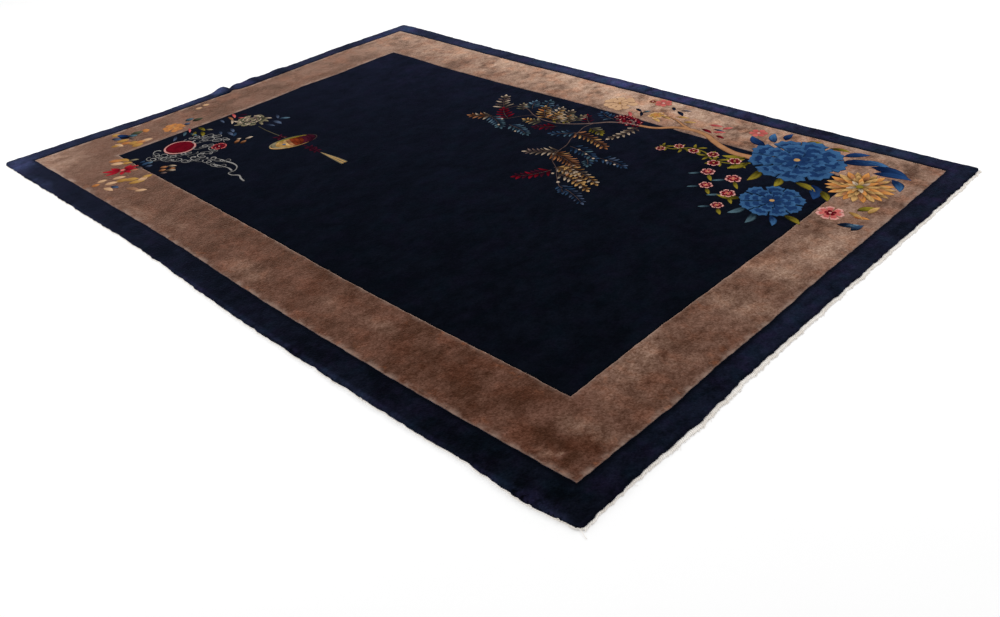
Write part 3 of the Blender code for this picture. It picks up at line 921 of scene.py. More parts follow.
# Leaf sprays of the hanging branch: yarn, base, tip, pairs of leaves, a leaf's length and width, second yarn
branchSprays = (
    ("cream", -248, 600, -350, 712, 5, 52, 19, "mauve"), ("red", -150, 522, -248, 592, 4, 50, 20, "red"),
    ("bronze", -240, 505, -318, 452, 4, 50, 18, "cream"), ("teal", -245, 492, -115, 430, 6, 50, 17, "sky"),
    ("teal", -95, 470, 38, 438, 6, 46, 16, "sky"), ("sky", -135, 672, -180, 745, 4, 44, 18, "teal"),
    ("teal", -85, 722, -128, 790, 3, 40, 17, "sky"), ("khaki", -160, 640, -208, 690, 3, 34, 14, "cream"),
    ("gold", 0, 625, -92, 718, 5, 48, 17, "orange"), ("cream", 42, 622, -20, 752, 6, 48, 16, "gold"),
    ("cream", 85, 660, 40, 756, 5, 42, 16, "khaki"), ("khaki", 125, 668, 122, 745, 3, 36, 15, "cream"),
    ("gold", 10, 580, -70, 560, 4, 42, 16, "khaki"), ("khaki", 30, 612, 105, 640, 3, 34, 14, "olive"),
    ("maroon", 98, 585, 28, 525, 4, 46, 19, "red"), ("red", 200, 695, 135, 758, 3, 34, 15, "maroon"),
    ("blue", 262, 795, 178, 822, 4, 44, 18, "sky"), ("cream", 404, 782, 378, 618, 6, 38, 20, "mauve"),
    ("olive", 232, 655, 312, 632, 4, 40, 17, "khaki"), ("bronze", 206, 572, 415, 530, 8, 46, 16, "gold"),
    ("blue", 215, 580, 140, 512, 4, 46, 18, "sky"), ("blue", 290, 452, 455, 412, 7, 50, 17, "teal"),
    ("blue", 470, 432, 600, 424, 6, 44, 16, "slate"), ("teal", 430, 395, 470, 350, 3, 34, 15, "blue"),
    ("cream", 282, 396, 178, 306, 6, 54, 15, "mauve"), ("bronze", 262, 352, 425, 316, 8, 56, 14, "gold"),
    ("cream", 372, 252, 500, 252, 5, 34, 17, "gold"), ("blue", 492, 140, 548, 100, 3, 34, 15, "slate"),
    ("gold", 395, 292, 605, 235, 8, 38, 17, "cream"), ("gold", 425, 215, 612, 172, 7, 36, 17, "cream"),
    ("red", 380, 228, 304, 100, 6, 50, 20, "maroon"), ("slate", 505, 132, 662, 78, 7, 42, 15, "blue"),
    ("gold", 385, 262, 560, 208, 7, 36, 16, "bronze"), ("gold", 70, 636, 8, 700, 4, 40, 15, "bronze"),
    ("bronze", 120, 640, 75, 705, 4, 38, 15, "cream"), ("slate", -30, 680, -62, 762, 4, 36, 14, "teal"),
)
branchRoutes = (  # yarn, listed points, width at the start and at the end, tone at the start and at the end
    ("branch", ((980, 800), (900, 795), (830, 815), (760, 850), (700, 885), (620, 897), (540, 872),
                (480, 822), (400, 800)), 0.036, 0.017, 0.6, 0.6),
    ("branch", ((620, 893), (560, 915), (500, 945), (440, 960)), 0.018, 0.006, 0.6, 0.6),
    ("mauve", ((410, 801), (340, 789), (270, 762), (215, 708), (150, 650), (80, 612), (0, 602), (-80, 622),
               (-160, 660), (-210, 665), (-248, 605)), 0.0095, 0.0035, 0.95, 0.1),
    ("mauve", ((215, 708), (206, 650), (222, 590), (240, 520), (270, 450), (280, 390), (310, 310), (385, 250),
               (440, 190), (505, 130)), 0.0042, 0.0036, 0.35, 0.15),
    ("mauve", ((-80, 622), (-130, 560), (-150, 522), (-245, 495)), 0.004, 0.003, 0.15, 0.1),
)
branch = {"steps": 48, "contour": 0.006, "under": -0.0006, "over": 0.0002}
berries = {
    "spots": (  # place and width
        (-170, 500, 14), (-135, 440, 14), (-20, 430, 12), (476, 157, 17), (345, 448, 13), (398, 430, 14),
        (450, 414, 16), (508, 428, 13), (560, 418, 13), (405, 205, 15),
    ),
    "size": 0.85, "height": 0.0004, "sides": 8, "tone": 0.75,
}


def addDot(yarn, centre, across, height=0.0, sides=10, tone=0.5):
    angles = np.arange(sides) * 2 * math.pi / sides
    ring = np.stack([np.cos(angles), np.sin(angles)], axis=1) * across / 2
    addShape(yarn, ring + np.asarray(centre), height, tone)


for yarn, x, y, tipX, tipY, pairs, length, width, mate in branchSprays:
    base, tip = (x / 1000, y / 1000), (tipX / 1000, tipY / 1000)
    addSpray(yarn, base, tip, pairs, length / 1000, width / 1000, mate)
for yarn, knots, start, end, early, late in branchRoutes:
    steps = branch["steps"]
    route = smoothRoute(knots, steps)
    # a darker umber strip under the branch, painted shade of the carved groove along it
    if yarn == "branch":
        wider = branch["contour"]
        addRibbon("umber", route, np.linspace(start + wider, end + wider, steps), branch["under"])
    addRibbon(yarn, route, np.linspace(start, end, steps), branch["over"], np.linspace(early, late, steps))
for x, y, across in berries["spots"]:
    spot = (x / 1000, y / 1000)
    size = berries["size"] * (across / 1000)
    addDot("cream", spot, size, berries["height"], berries["sides"], berries["tone"])

blossoms = {
    "centre": (0.323, 0.820), "reach": (0.082, 0.046), "slope": -0.2, "count": 52, "size": 0.018,
    "petals": ("red", "maroon", "red", "mauve", "red"), "sides": 8, "tones": (0.1, 0.7),
    "heart": 0.43, "heartSides": 6, "heartHeight": 0.0005, "heartTones": (-0.3, 0.9),
}


def addBlossomCluster():
    golden = math.pi * (3 - math.sqrt(5))
    centreX, centreY = blossoms["centre"]
    reachX, reachY = blossoms["reach"]
    for number in range(blossoms["count"]):
        out = math.sqrt((number + 0.5) / blossoms["count"])
        across = reachX * out * math.cos(number * golden)
        up = reachY * out * math.sin(number * golden)
        spot = (centreX + across, centreY + blossoms["slope"] * across + up)
        petal = blossoms["petals"][number % len(blossoms["petals"])]
        addDot(petal, spot, blossoms["size"], 0.0, blossoms["sides"], chance.uniform(*blossoms["tones"]))
        if number % 2 == 0:
            size = blossoms["size"] * blossoms["heart"]
            tone = chance.uniform(*blossoms["heartTones"])
            addDot("rose", spot, size, blossoms["heartHeight"], blossoms["heartSides"], tone)


addBlossomCluster()

# Single leaves and petals: yarn, base, heading in degrees, length, width
fieldLeaves = (
    ("slate", -1150, -105, -25, 55, 18), ("sky", -1090, -130, 50, 55, 24),
    ("slate", -1095, -165, 5, 70, 26), ("slate", -1085, -215, 20, 60, 20),
    ("pink", -1345, -235, -20, 60, 16), ("bronze", -1330, -270, -10, 65, 16),
    ("cream", -1290, -275, -30, 65, 14), ("pink", -1275, -245, 30, 45, 13),
    ("slate", -1330, -318, -5, 50, 14), ("maroon", -1300, -225, 55, 40, 14),
    ("slate", -1190, -345, -15, 55, 20), ("slate", -1165, -378, -5, 60, 20),
    ("blue", -1130, -355, -40, 50, 18), ("slate", -1210, -395, -20, 50, 16),
    ("cream", -1013, -374, 85, 42, 18), ("bronze", -1008, -432, 122, 48, 22),
    ("bronze", -984, -415, 112, 40, 24), ("cream", -1042, -403, 86, 24, 16),
    ("olive", -1335, -435, 0, 62, 22), ("olive", -1275, -452, -25, 60, 22),
    ("khaki", -1280, -425, 35, 36, 16), ("olive", -1300, -470, -50, 45, 18),
    ("teal", -1350, -500, -35, 60, 18), ("pink", -1365, -470, -25, 55, 12),
    ("slate", -1330, -560, -40, 60, 18), ("teal", -1300, -500, 10, 50, 16),
    ("blue", -1149, -833, 105, 45, 26), ("slate", -1123, -834, 79, 36, 26),
    ("sky", -1142, -807, 107, 31, 18), ("blue", -1180, -824, 109, 29, 22),
    ("cream", -1048, -768, 51, 47, 22), ("bronze", -1054, -795, 71, 35, 26),
    ("cream", -1009, -795, 50, 48, 22), ("bronze", -1028, -816, 77, 34, 24),
    ("bronze", -1017, -773, 51, 31, 18), ("mauve", -1003, -822, 55, 30, 20),
)
bandLeaves = (
    ("teal", -1466, -427, 91, 43, 34), ("moss", -1430, -408, 91, 57, 36),
    ("slate", -1420, -459, 105, 34, 28), ("sand", -1576, -265, 81, 34, 30),
    ("sand", -1565, -313, 85, 34, 26), ("mauve", -1498, -713, 91, 20, 30),
    ("cobalt", -1530, -698, -158, 78, 34), ("inkBlue", -1520, -704, -140, 50, 30),
    ("teal", -1537, -706, 60, 48, 34), ("moss", -1543, -684, 80, 60, 40),
    ("amber", -1602, -754, 84, 40, 36), ("slate", -1573, -768, 28, 52, 30),
    ("amber", -1516, -772, 68, 56, 36), ("apricot", -1476, -772, 62, 52, 34),
    ("amber", -1444, -748, 66, 50, 44), ("amber", -1398, -752, 84, 54, 44),
    ("apricot", -1425, -724, 74, 52, 36), ("sand", -1419, -692, 77, 52, 36),
    ("apricot", -1532, -628, 71, 34, 50), ("sand", -1499, -790, 13, 58, 26),
    ("amber", -1481, -818, 70, 46, 28), ("apricot", -1324, -906, 50, 62, 34),
    ("amber", -1312, -872, 30, 66, 32), ("sand", -1288, -916, 48, 62, 32),
    ("khaki", -1255, -844, 60, 46, 20), ("amber", -1252, -880, 58, 46, 28),
    ("mauve", -1168, -852, 1, 54, 22), ("fawn", -1140, -896, 77, 40, 22),
    ("amber", -1092, -990, 60, 62, 36), ("amber", -1068, -960, 58, 62, 38),
    ("amber", -1022, -962, 66, 66, 34), ("sand", -1004, -925, 108, 58, 36),
    ("amber", -1024, -896, 90, 48, 32), ("sand", -1130, -984, 62, 56, 30),
    ("sand", -1102, -1034, 70, 56, 30), ("slate", -1064, -1024, 20, 42, 26),
    ("sand", -1076, -1052, 12, 60, 26), ("sand", -1150, -1046, 84, 44, 28),
    ("apricot", -1136, -1078, 74, 34, 28), ("fawn", -990, -992, 24, 70, 28),
    ("sand", -930, -980, 54, 50, 26), ("inkBlue", 400, 1062, -48, 40, 18),
    ("inkBlue", 445, 1035, -35, 62, 22), ("slate", 455, 1045, 30, 48, 14),
    ("inkBlue", 268, 952, -20, 45, 18), ("teal", 325, 930, 65, 42, 18), ("inkBlue", 310, 935, -55, 55, 16),
    ("pink", 262, 905, -45, 60, 18), ("gold", 365, 925, 25, 60, 22), ("straw", 395, 905, -20, 60, 22),
    ("orange", 385, 945, 60, 45, 18), ("gold", 420, 945, -10, 55, 20), ("straw", 480, 975, 20, 60, 20),
    ("straw", 540, 945, 30, 55, 20), ("pink", 650, 985, 15, 60, 22), ("pink", 722, 978, 55, 48, 20),
    ("red", 645, 932, -15, 62, 22), ("pink", 705, 928, 30, 55, 20), ("red", 735, 905, -10, 45, 18),
    ("slate", 690, 955, 5, 50, 14), ("olive", 1520, 625, 55, 70, 32), ("straw", 1560, 630, 80, 65, 26),
    ("blue", 1510, 492, 20, 75, 34), ("blue", 1570, 480, 75, 60, 28), ("sky", 1538, 490, 50, 55, 20),
    ("straw", 1500, 600, -20, 70, 22), ("orange", 1530, 575, 15, 55, 20),
)
softYarns = ("sand", "amber", "apricot", "fawn", "straw", "gold", "orange", "olive")  # no dark outline
bandContours = {yarn: "fawn" if yarn in softYarns else "umber" for yarn in yarnLooks}
redFlower = {
    "centre": (-1.184, -0.909), "hollow": 0.013, "heart": 0.020, "bend": 0.04, "tones": (0.5, 0.9),
    "petals": (  # heading, length and width
        (-128, 88, 25), (-96, 78, 24), (-156, 64, 24), (108, 56, 22),
        (80, 70, 23), (48, 66, 22), (10, 56, 24), (-34, 50, 22),
    ),
}
addLeaves(fieldLeaves, motif["bend"], {})
for heading, length, width in redFlower["petals"]:
    turn = math.radians(heading)
    root = np.array(redFlower["centre"]) + redFlower["hollow"] * np.array((math.cos(turn), math.sin(turn)))
    longer = length / 1000 - redFlower["hollow"]
    addLeaf("crimson", root, turn, longer, width / 1000, redFlower["bend"], 0.0, "pink", redFlower["tones"])
addLeaves(bandLeaves, motif["bend"], bandContours)

# Flowers of many petals, in layers from the outermost to the heart
bloom = {
    "scallop": 0.06, "fan": 0.42, "body": 0.76, "tones": (0.4, 0.6), "contourTone": 0.4,
    "root": ((0.45, 0.40), (0.02, 0.15), (0.02, -0.15), (0.45, -0.40)),  # a petal's foot, in shares
    "layerStep": 0.0004, "petalStep": 0.00008, "bodyStep": 0.0002, "overlap": 1.06,
    "inner": 0.8, "shorter": 0.3, "waist": 0.4, "looseLengths": 1.2,  # how the layers change inwards
    "leastWidth": 0.012, "shading": (0.5, 0.6), "heartStep": 0.0003, "heartSides": 12, "heartTone": 0.7,
}


def petalOutline(base, angle, length, width, lobes, share=1.0):  # a fan with a scalloped tip
    across = np.linspace(-1, 1, 4 * lobes + 1)
    lobed = 1 + bloom["scallop"] * np.cos(math.pi * lobes * (across + 1))
    reach = length * share * lobed * np.sqrt(1 - bloom["fan"] * across**2)
    tip = np.stack([reach, across * width * share / 2], axis=1)
    root = np.array(bloom["root"]) * (length * share, width * share)
    return turned(np.concatenate([tip, root]), base, angle)


def addPetal(edge, body, base, angle, length, width, height, contour, lobes):
    outline = petalOutline(base, angle, length, width, lobes)
    middle = outline.mean(axis=0)
    margin = 1 + 2 * motif["contour"] / max(width, bloom["leastWidth"])
    shading, half = bloom["shading"]
    away = np.linalg.norm(outline - np.asarray(base), axis=1) / length
    tone = chance.uniform(*bloom["tones"])
    # a contour under each petal: where its yarn is dark, painted shade of the carved groove round the petal
    # and between overlapping petals
    addShape(contour, middle + (outline - middle) * margin, height - bloom["layerStep"], bloom["contourTone"])
    addShape(edge, outline, height, tone, shading * (away - half))
    if body != edge:
        within = petalOutline(base, angle, length, width, lobes, bloom["body"])
        addShape(body, within, height + bloom["bodyStep"], tone)


def addBloom(centre, radius, layers, heart, contour="umber", start=0.0, lobes=3, depth=0.52, loose=0.05):
    # layers: yarn of the petals' edges and of their middles, number of petals; the outermost first
    for level, (edge, body, petals) in enumerate(layers):
        inward = level / len(layers)
        tip = radius * (1 - bloom["inner"] * inward)
        length = min(tip, radius * depth * (1 - bloom["shorter"] * inward))
        width = 2 * math.pi * (tip - bloom["waist"] * length) / petals * bloom["overlap"]
        uneven = bloom["looseLengths"] * loose
        for number in range(petals):
            turn = 2 * math.pi * (number + 0.5 * (level % 2)) / petals
            angle = start + turn + chance.uniform(-loose, loose)
            out = tip - length
            base = (centre[0] + out * math.cos(angle), centre[1] + out * math.sin(angle))
            longer = length * chance.uniform(1 - uneven, 1 + uneven)
            height = bloom["layerStep"] * level + bloom["petalStep"] * (number % 3)
            if lobes:
                addPetal(edge, body, base, angle, longer, width, height, contour, lobes)
            else:
                addLeaf(edge if number % 2 else body, base, angle, longer, width, 0.0, height, contour)
    yarn, across = heart
    height = bloom["layerStep"] * len(layers) + bloom["heartStep"]
    addDot(yarn, centre, across, height, bloom["heartSides"], bloom["heartTone"])


# Flowers that stand alone: centre, radius, layers, heart, contour, start, lobes, depth, looseness
ivoryLayers = (("khaki", "moss", 10), ("cream", "moss", 8), ("khaki", "mauve", 7), ("cream", "khaki", 5))
loosePetals = (  # round the ivory flower: yarn, base, heading, length, width
    ("khaki", -1150, -195, 20, 46, 17), ("cream", -1160, -178, 48, 46, 17),
    ("khaki", -1140, -215, -10, 46, 17), ("cream", -1215, -262, 205, 46, 17),
    ("khaki", -1190, -270, 245, 46, 17),
)
loneFlowers = (
    ((-1.045, -0.495), 0.036, (("pink", "red", 6), ("red", "red", 4)), ("rose", 0.008), "maroon", 0.1, 2),
    ((-1.440, -0.508), 0.056, (("apricot", "apricot", 8), ("orange", "apricot", 6)), ("gold", 0.014), "fawn",
     0.3, 3, 0.7, 0.18),
    ((0.335, 1.078), 0.042, (("pink", "pink", 6),), ("rose", 0.016), "fawn", 0.1, 2, 0.8),
    ((0.283, 1.066), 0.018, (("bronze", "red", 5),), ("rose", 0.008), "fawn", 0.5, 2, 0.8),
    ((0.165, 0.962), 0.082, (("sand", "sand", 10), ("sand", "sand", 8)), ("amber", 0.012), "fawn",
     0.3, 3, 0.6, 0.2),
    ((0.395, 0.938), 0.042, (("sand", "amber", 7), ("amber", "apricot", 5)), ("apricot", 0.012), "fawn",
     0.6, 2, 0.7, 0.2),
    ((0.870, 1.030), 0.040, (("pink", "pink", 6),), ("rose", 0.014), "fawn", 0.5, 2, 0.85),
    ((1.450, 0.555), 0.052, (("rose", "pink", 7), ("pink", "red", 5)), ("rose", 0.012), "fawn", 0.2, 2, 0.7),
)
addBloom((-1.195, -0.218), 0.070, ivoryLayers, ("khaki", 0.012), "inkBlue", 0.2, 3, 0.46, 0.30)
addLeaves(loosePetals, 0.1, {"khaki": "inkBlue", "cream": "inkBlue"})
addDot("pink", redFlower["centre"], redFlower["heart"], 0.0004, 10, 0.9)
for flower in loneFlowers:
    addBloom(*flower)

# The corner group: two blue peonies, a gold chrysanthemum, broad leaves and a garland of red buds
peonyLayers = (("azure", "cobalt", 9), ("azure", "cobalt", 8), ("azure", "cobalt", 7), ("azure", "cobalt", 5))
goldLayers = (("gold", "orange", 22), ("gold", "bronze", 18), ("gold", "orange", 14), ("cream", "gold", 9))
cornerLeaves = (  # yarn, base, heading, length, width
    ("cobalt", 1290, 960, 25, 150, 58), ("azure", 1330, 1010, 5, 130, 40),
    ("cobalt", 1270, 1020, 40, 100, 42), ("cobalt", 1400, 990, -5, 150, 60),
    ("cobalt", 1430, 940, 12, 140, 48), ("azure", 1510, 930, -50, 100, 38),
    ("cobalt", 960, 930, 150, 110, 46), ("azure", 975, 985, 120, 90, 36),
    ("cobalt", 1000, 1030, 95, 70, 34), ("cobalt", 1290, 720, -60, 120, 50),
    ("olive", 960, 800, -150, 105, 38), ("olive", 990, 750, -115, 100, 36),
    ("olive", 1060, 720, -85, 110, 38), ("olive", 1160, 700, -75, 80, 34),
    ("olive", 1230, 700, -15, 100, 36), ("olive", 1080, 1050, 30, 70, 28),
    ("olive", 1330, 690, -40, 90, 34), ("olive", 1190, 1055, 10, 80, 26),
    ("teal", 1180, 415, -110, 80, 32), ("teal", 1230, 395, -80, 85, 32), ("azure", 1290, 410, -55, 75, 28),
    ("olive", 1130, 470, -160, 95, 34), ("olive", 1330, 440, -20, 80, 30),
)
addLeaves(cornerLeaves, 0.10, dict.fromkeys(yarnLooks, "inkBlue"))
addBloom((1.135, 0.880), 0.195, peonyLayers, ("gold", 0.030), "inkBlue", 0.25)
addBloom((1.235, 0.515), 0.125, peonyLayers[:3], ("gold", 0.020), "inkBlue", 0.60)
addBloom((1.440, 0.805), 0.128, goldLayers, ("olive", 0.030), "umber", 0.10, 0, 0.56)

garland = {
    "knots": ((1000, 750), (930, 700), (860, 690), (790, 735), (720, 735), (660, 680), (600, 680)),
    "steps": 60, "stem": (0.010, 0.005),
    "buds": 6, "budSize": 0.030, "smaller": 0.06, "between": (8, 48), "aside": 0.022,
    "leafTurns": (-1.0, 1.0, math.pi - 0.8, math.pi + 0.8), "leaf": (1.9, 0.62),  # in shares of the bud
    "layers": (("rose", "red", 6), ("red", "red", 4)), "heart": ("gold", 0.010),
}


def addGarland():
    steps = garland["steps"]
    route = smoothRoute(garland["knots"], steps)
    addRibbon("olive", route, np.linspace(*garland["stem"], steps), -0.0003)
    first, spread = garland["between"]
    for number in range(garland["buds"]):
        at = first + round(number * spread / (garland["buds"] - 1))
        ahead = route[min(at + 1, steps - 1)] - route[at - 1]
        heading = math.atan2(ahead[1], ahead[0])
        size = garland["budSize"] * (1 - garland["smaller"] * number)
        side = garland["aside"] if number % 2 else -garland["aside"]
        spot = route[at] + np.array((-math.sin(heading), math.cos(heading))) * side
        length, width = (size * share for share in garland["leaf"])
        for turn in garland["leafTurns"]:
            addLeaf("olive", route[at], heading + turn, length, width, 0.1)
        addBloom(tuple(spot), size, garland["layers"], garland["heart"], "maroon", heading, 2, 0.8)


addGarland()
smallBlooms = {
    "spots": (((1.020, 0.590), 0.034), ((0.905, 0.585), 0.030), ((1.070, 0.470), 0.032),
              ((0.965, 0.480), 0.028), ((1.090, 0.365), 0.026)),
    "leaves": (("olive", 0.015, -0.8, 1.9, 0.018), ("teal", -0.015, -2.4, 1.8, 0.016)),
    "layers": (("rose", "red", 6), ("red", "pink", 4)), "heart": ("gold", 0.010),
}
for (x, y), size in smallBlooms["spots"]:
    for yarn, aside, turn, length, width in smallBlooms["leaves"]:
        addLeaf(yarn, (x + aside, y - 0.02), turn, size * length, width)
    addBloom((x, y), size, smallBlooms["layers"], smallBlooms["heart"], "maroon", x * 9, 2, 0.8)
print("flowers and leaves laid out")

# The red disc in its rose ring, and the ribbon clouds round it
disc = {"centre": (-1.190, -0.617), "red": 0.131, "ring": 0.148, "sides": 36}
addDot("rose", disc["centre"], disc["ring"], 0.0001, disc["sides"], 0.6)
addDot("red", disc["centre"], disc["red"], 0.0009, disc["sides"], 0.45)

cloud = {
    "line": 0.0042, "turnsEach": 1.25, "steps": 22, "along": 1.15, "aside": 0.85, "over": 0.00035,
    "growth": (0.28, 0.16), "growthWaves": (0.37, 0.83), "sway": 0.7, "swayWave": 0.29,
    "uneven": 0.22, "unevenWave": 0.61, "tones": (0.42, 0.30, 0.16), "toneWave": 0.43,
    "tailSteps": 60, "tailWidth": (0.0062, 0.0024), "tailWave": 9, "tailHeight": 0.0001, "tailTone": 0.6,
}
cloudChains = (  # listed points, number of scrolls, their size
    (((-1232, -724), (-1190, -728), (-1150, -712), (-1123, -681), (-1100, -645), (-1092, -606)), 7, 0.016),
    (((-1200, -768), (-1142, -747), (-1110, -724), (-1064, -704), (-1028, -679), (-1011, -650)), 7, 0.015),
    (((-1060, -655), (-979, -632), (-922, -628), (-872, -618), (-818, -604)), 6, 0.013),
    (((-1060, -610), (-971, -599), (-920, -588), (-889, -566), (-854, -567)), 6, 0.014),
    (((-1245, -550), (-1225, -507), (-1203, -477), (-1180, -446), (-1157, -412)), 6, 0.015),
    (((-1180, -535), (-1166, -493), (-1137, -473), (-1118, -446), (-1072, -435)), 6, 0.016),
    (((-1122, -573), (-1104, -546), (-1090, -523), (-1038, -527), (-1013, -563), (-1041, -583)), 7, 0.014),
)
cloudTails = (
    ((-905, -570), (-860, -566), (-829, -561), (-773, -571), (-748, -602), (-752, -628), (-722, -632),
     (-690, -614), (-655, -626), (-621, -632)),
    ((-890, -622), (-839, -607), (-794, -600), (-758, -606)),
)


def addScrolls(knots, count, size):  # one strand that loops back over itself all along the route
    turns = count * cloud["turnsEach"]
    samples = round(turns * cloud["steps"])
    route = smoothRoute(knots, samples)
    ahead, aside = headings(route)
    turn = np.linspace(0, 2 * math.pi * turns, samples)
    drift = chance.uniform(0, 6)
    (slow, fast), (slowWave, fastWave) = cloud["growth"], cloud["growthWaves"]
    grown = size * (1 + slow * np.sin(turn * slowWave + drift) + fast * np.sin(turn * fastWave + 2 * drift))
    sway = size * cloud["sway"] * np.sin(turn * cloud["swayWave"] + 1.7 * drift)
    forth = -cloud["along"] * grown * np.sin(turn)
    beside = cloud["aside"] * grown * np.cos(turn) + sway
    curl = route + ahead * forth[:, None] + aside * beside[:, None]
    widths = cloud["line"] * (1 + cloud["uneven"] * np.sin(turn * cloud["unevenWave"] + drift))
    middle, slow, fast = cloud["tones"]
    tones = middle + slow * np.sin(turn * cloud["toneWave"] + drift) + fast * np.cos(turn)
    addRibbon("ivory", curl, widths, cloud["over"] * np.sin(turn), tones)


for knots, count, size in cloudChains:
    addScrolls(knots, count, size)
for knots in cloudTails:
    steps = cloud["tailSteps"]
    width, more = cloud["tailWidth"]
    widths = width + more * np.sin(np.linspace(0, cloud["tailWave"], steps))
    addRibbon("ivory", smoothRoute(knots, steps), widths, cloud["tailHeight"], cloud["tailTone"])

# A squat lantern on its cord, with knots and a tassel
lantern = {
    "centre": (-0.793, -0.252), "heading": 74, "half": (0.113, 0.057), "rimPoints": 49,
    "rims": (  # yarn, first and last point, width at each, height, tone at each
        ("mauve", 16, 34, (0.004, 0.004), -0.0001, (0.1, 0.1)),
        ("gold", 0, 17, (0.008, 0.005), 0.0001, (0.85, 0.35)),
        ("khaki", 33, 49, (0.005, 0.008), 0.0001, (0.2, 0.9)),
    ),
    "gores": (("khaki", 0.75), ("straw", 0.30), ("straw", 0.10), ("gold", 0.72), ("bronze", 0.55),
              ("rust", 0.45), ("rust", 0.30), ("rust", 0.12), ("maroon", 0.9), ("maroon", 0.5),
              ("maroon", 0.3)),
    "goreReach": (0.94, -0.88, 0.70), "goreSteps": 11, "goreShading": (0.22, 5, 9), "goreHeight": 0.0002,
    "goreProfile": ((1, None, -0.2), (1, -0.0003, -0.05), (0.4, 0.0, 0.04), (-0.4, 0.0, 0.04),
                    (-1, -0.0003, -0.05), (-1, None, -0.2)),
    "strip": {"along": (-0.62, 0.66, 14), "aside": 0.80, "look": (0.012, 0.0003, 0.6)},  # width, height, tone
    "glint": {"place": (-0.42, -0.10), "look": (0.020, 0.0006, 10, 1.0)},  # width, height, sides, tone
    "cords": (  # yarn, listed points, steps, width, height, tone
        ("khaki", ((-1095, -245), (-1020, -252), (-930, -252), (-840, -250)), 20, 0.0045, -0.0004, 0.2),
        ("maroon", ((-755, -250), (-660, -246), (-600, -250), (-565, -252)), 16, 0.007, -0.0002, 0.4),
    ),
    "knots": (((-0.890, -0.262), 0.034), ((-0.665, -0.246), 0.030), ((-0.625, -0.250), 0.028)),
    "knotPetals": (0.8, 2.3, 3.9, 5.5), "knotWidth": 0.5,
    "strands": 5, "strandPitch": 5.2, "strandSteps": 14, "strandWidth": (0.004, 0.0075),
    "strandHeight": 0.0001, "strandTone": 0.55,
    "strandKnots": (  # place and how far the strands fan out there
        (-585, -251, 0.0), (-530, -251, 0.5), (-460, -252, 1.1), (-405, -254, 1.3),
    ),
}


def addLantern():
    centre = lantern["centre"]
    long, wide = lantern["half"]
    heading = math.radians(lantern["heading"])
    angles = np.linspace(0, 2 * math.pi, lantern["rimPoints"])
    rim = turned(np.stack([-long * np.cos(angles), -wide * np.sin(angles)], axis=1), centre, heading)
    for yarn, first, last, widths, height, tones in lantern["rims"]:
        steps = last - first
        addRibbon(yarn, rim[first:last], np.linspace(*widths, steps), height, np.linspace(*tones, steps))
    half, low, high = lantern["goreReach"]
    edges = np.linspace(-half, half, len(lantern["gores"]) + 1)
    across = np.linspace(low, high, lantern["goreSteps"])
    shading, wave, shift = lantern["goreShading"]
    bulge = np.sqrt(1 - across**2) * long
    for (yarn, tone), low, high in zip(lantern["gores"], edges, edges[1:]):
        route = turned(np.stack([(low + high) / 2 * bulge, across * wide], axis=1), centre, heading)
        tones = tone + shading * np.sin(wave * across + shift * low)
        addRibbon(yarn, route, (high - low) * bulge, lantern["goreHeight"], tones, lantern["goreProfile"])
    strip, glint = lantern["strip"], lantern["glint"]
    along = np.linspace(*strip["along"])
    aside = strip["aside"] * wide * np.sqrt(1 - along**2)
    route = turned(np.stack([along * long, aside], axis=1), centre, heading)
    addRibbon("olive", route, *strip["look"])
    addDot("slate", turned([np.array(glint["place"]) * (long, wide)], centre, heading)[0], *glint["look"])
    for yarn, knots, steps, width, height, tone in lantern["cords"]:
        addRibbon(yarn, smoothRoute(knots, steps), width, height, tone)
    for spot, size in lantern["knots"]:
        for petal in lantern["knotPetals"]:
            addLeaf("maroon", spot, petal, size, size * lantern["knotWidth"])
    steps = lantern["strandSteps"]
    widths = np.linspace(*lantern["strandWidth"], steps)
    for strand in range(lantern["strands"]):
        spread = (strand - lantern["strands"] // 2) * lantern["strandPitch"]
        knots = [(x, y + spread * fan) for x, y, fan in lantern["strandKnots"]]
        yarn = ("khaki", "straw")[strand % 2]
        addRibbon(yarn, smoothRoute(knots, steps), widths, lantern["strandHeight"], lantern["strandTone"])


addLantern()

yarnWool = {
    "tufts": 240.0, "fuzz": 420.0, "wear": 40.0, "fuzzTone": 0.8, "wearTone": 0.7, "fuzzHeight": 0.4,
    "sheen": 0.12, "sheenRoughness": 0.4, "sheenTint": 1.6, "bump": 0.0011,
}


def yarnFinish(name, dark, light):
    finish = Finish(name)
    fuzz = finish.noise(yarnWool["fuzz"])
    wear = finish.noise(yarnWool["wear"])
    tone = finish.painted("tone") + (fuzz - 0.5) * yarnWool["fuzzTone"] + (wear - 0.5) * yarnWool["wearTone"]
    tufts = (1 - finish.cells(yarnWool["tufts"], "Distance")) + fuzz * yarnWool["fuzzHeight"]
    finish.fit({
        "Base Color": finish.blend(finish.graded(tone, (0.0, 1.0)), dark, light),
        "Roughness": 1.0,
        "Specular IOR Level": 0.0,
        "Sheen Weight": yarnWool["sheen"],
        "Sheen Roughness": yarnWool["sheenRoughness"],
        "Sheen Tint": scaled(light, yarnWool["sheenTint"]),
        "Normal": finish.bump(tufts, yarnWool["bump"], 0.5),
    })
    return finish


for name, heap in yarns.items():
    look = yarnLooks[name]
    finish = yarnFinish("yarn_" + name, shade(*look[:3]), shade(*look[3:]))
    piece = addPiece("motif_" + name, heap.points, heap.faces, finish, {"tone": heap.tones})


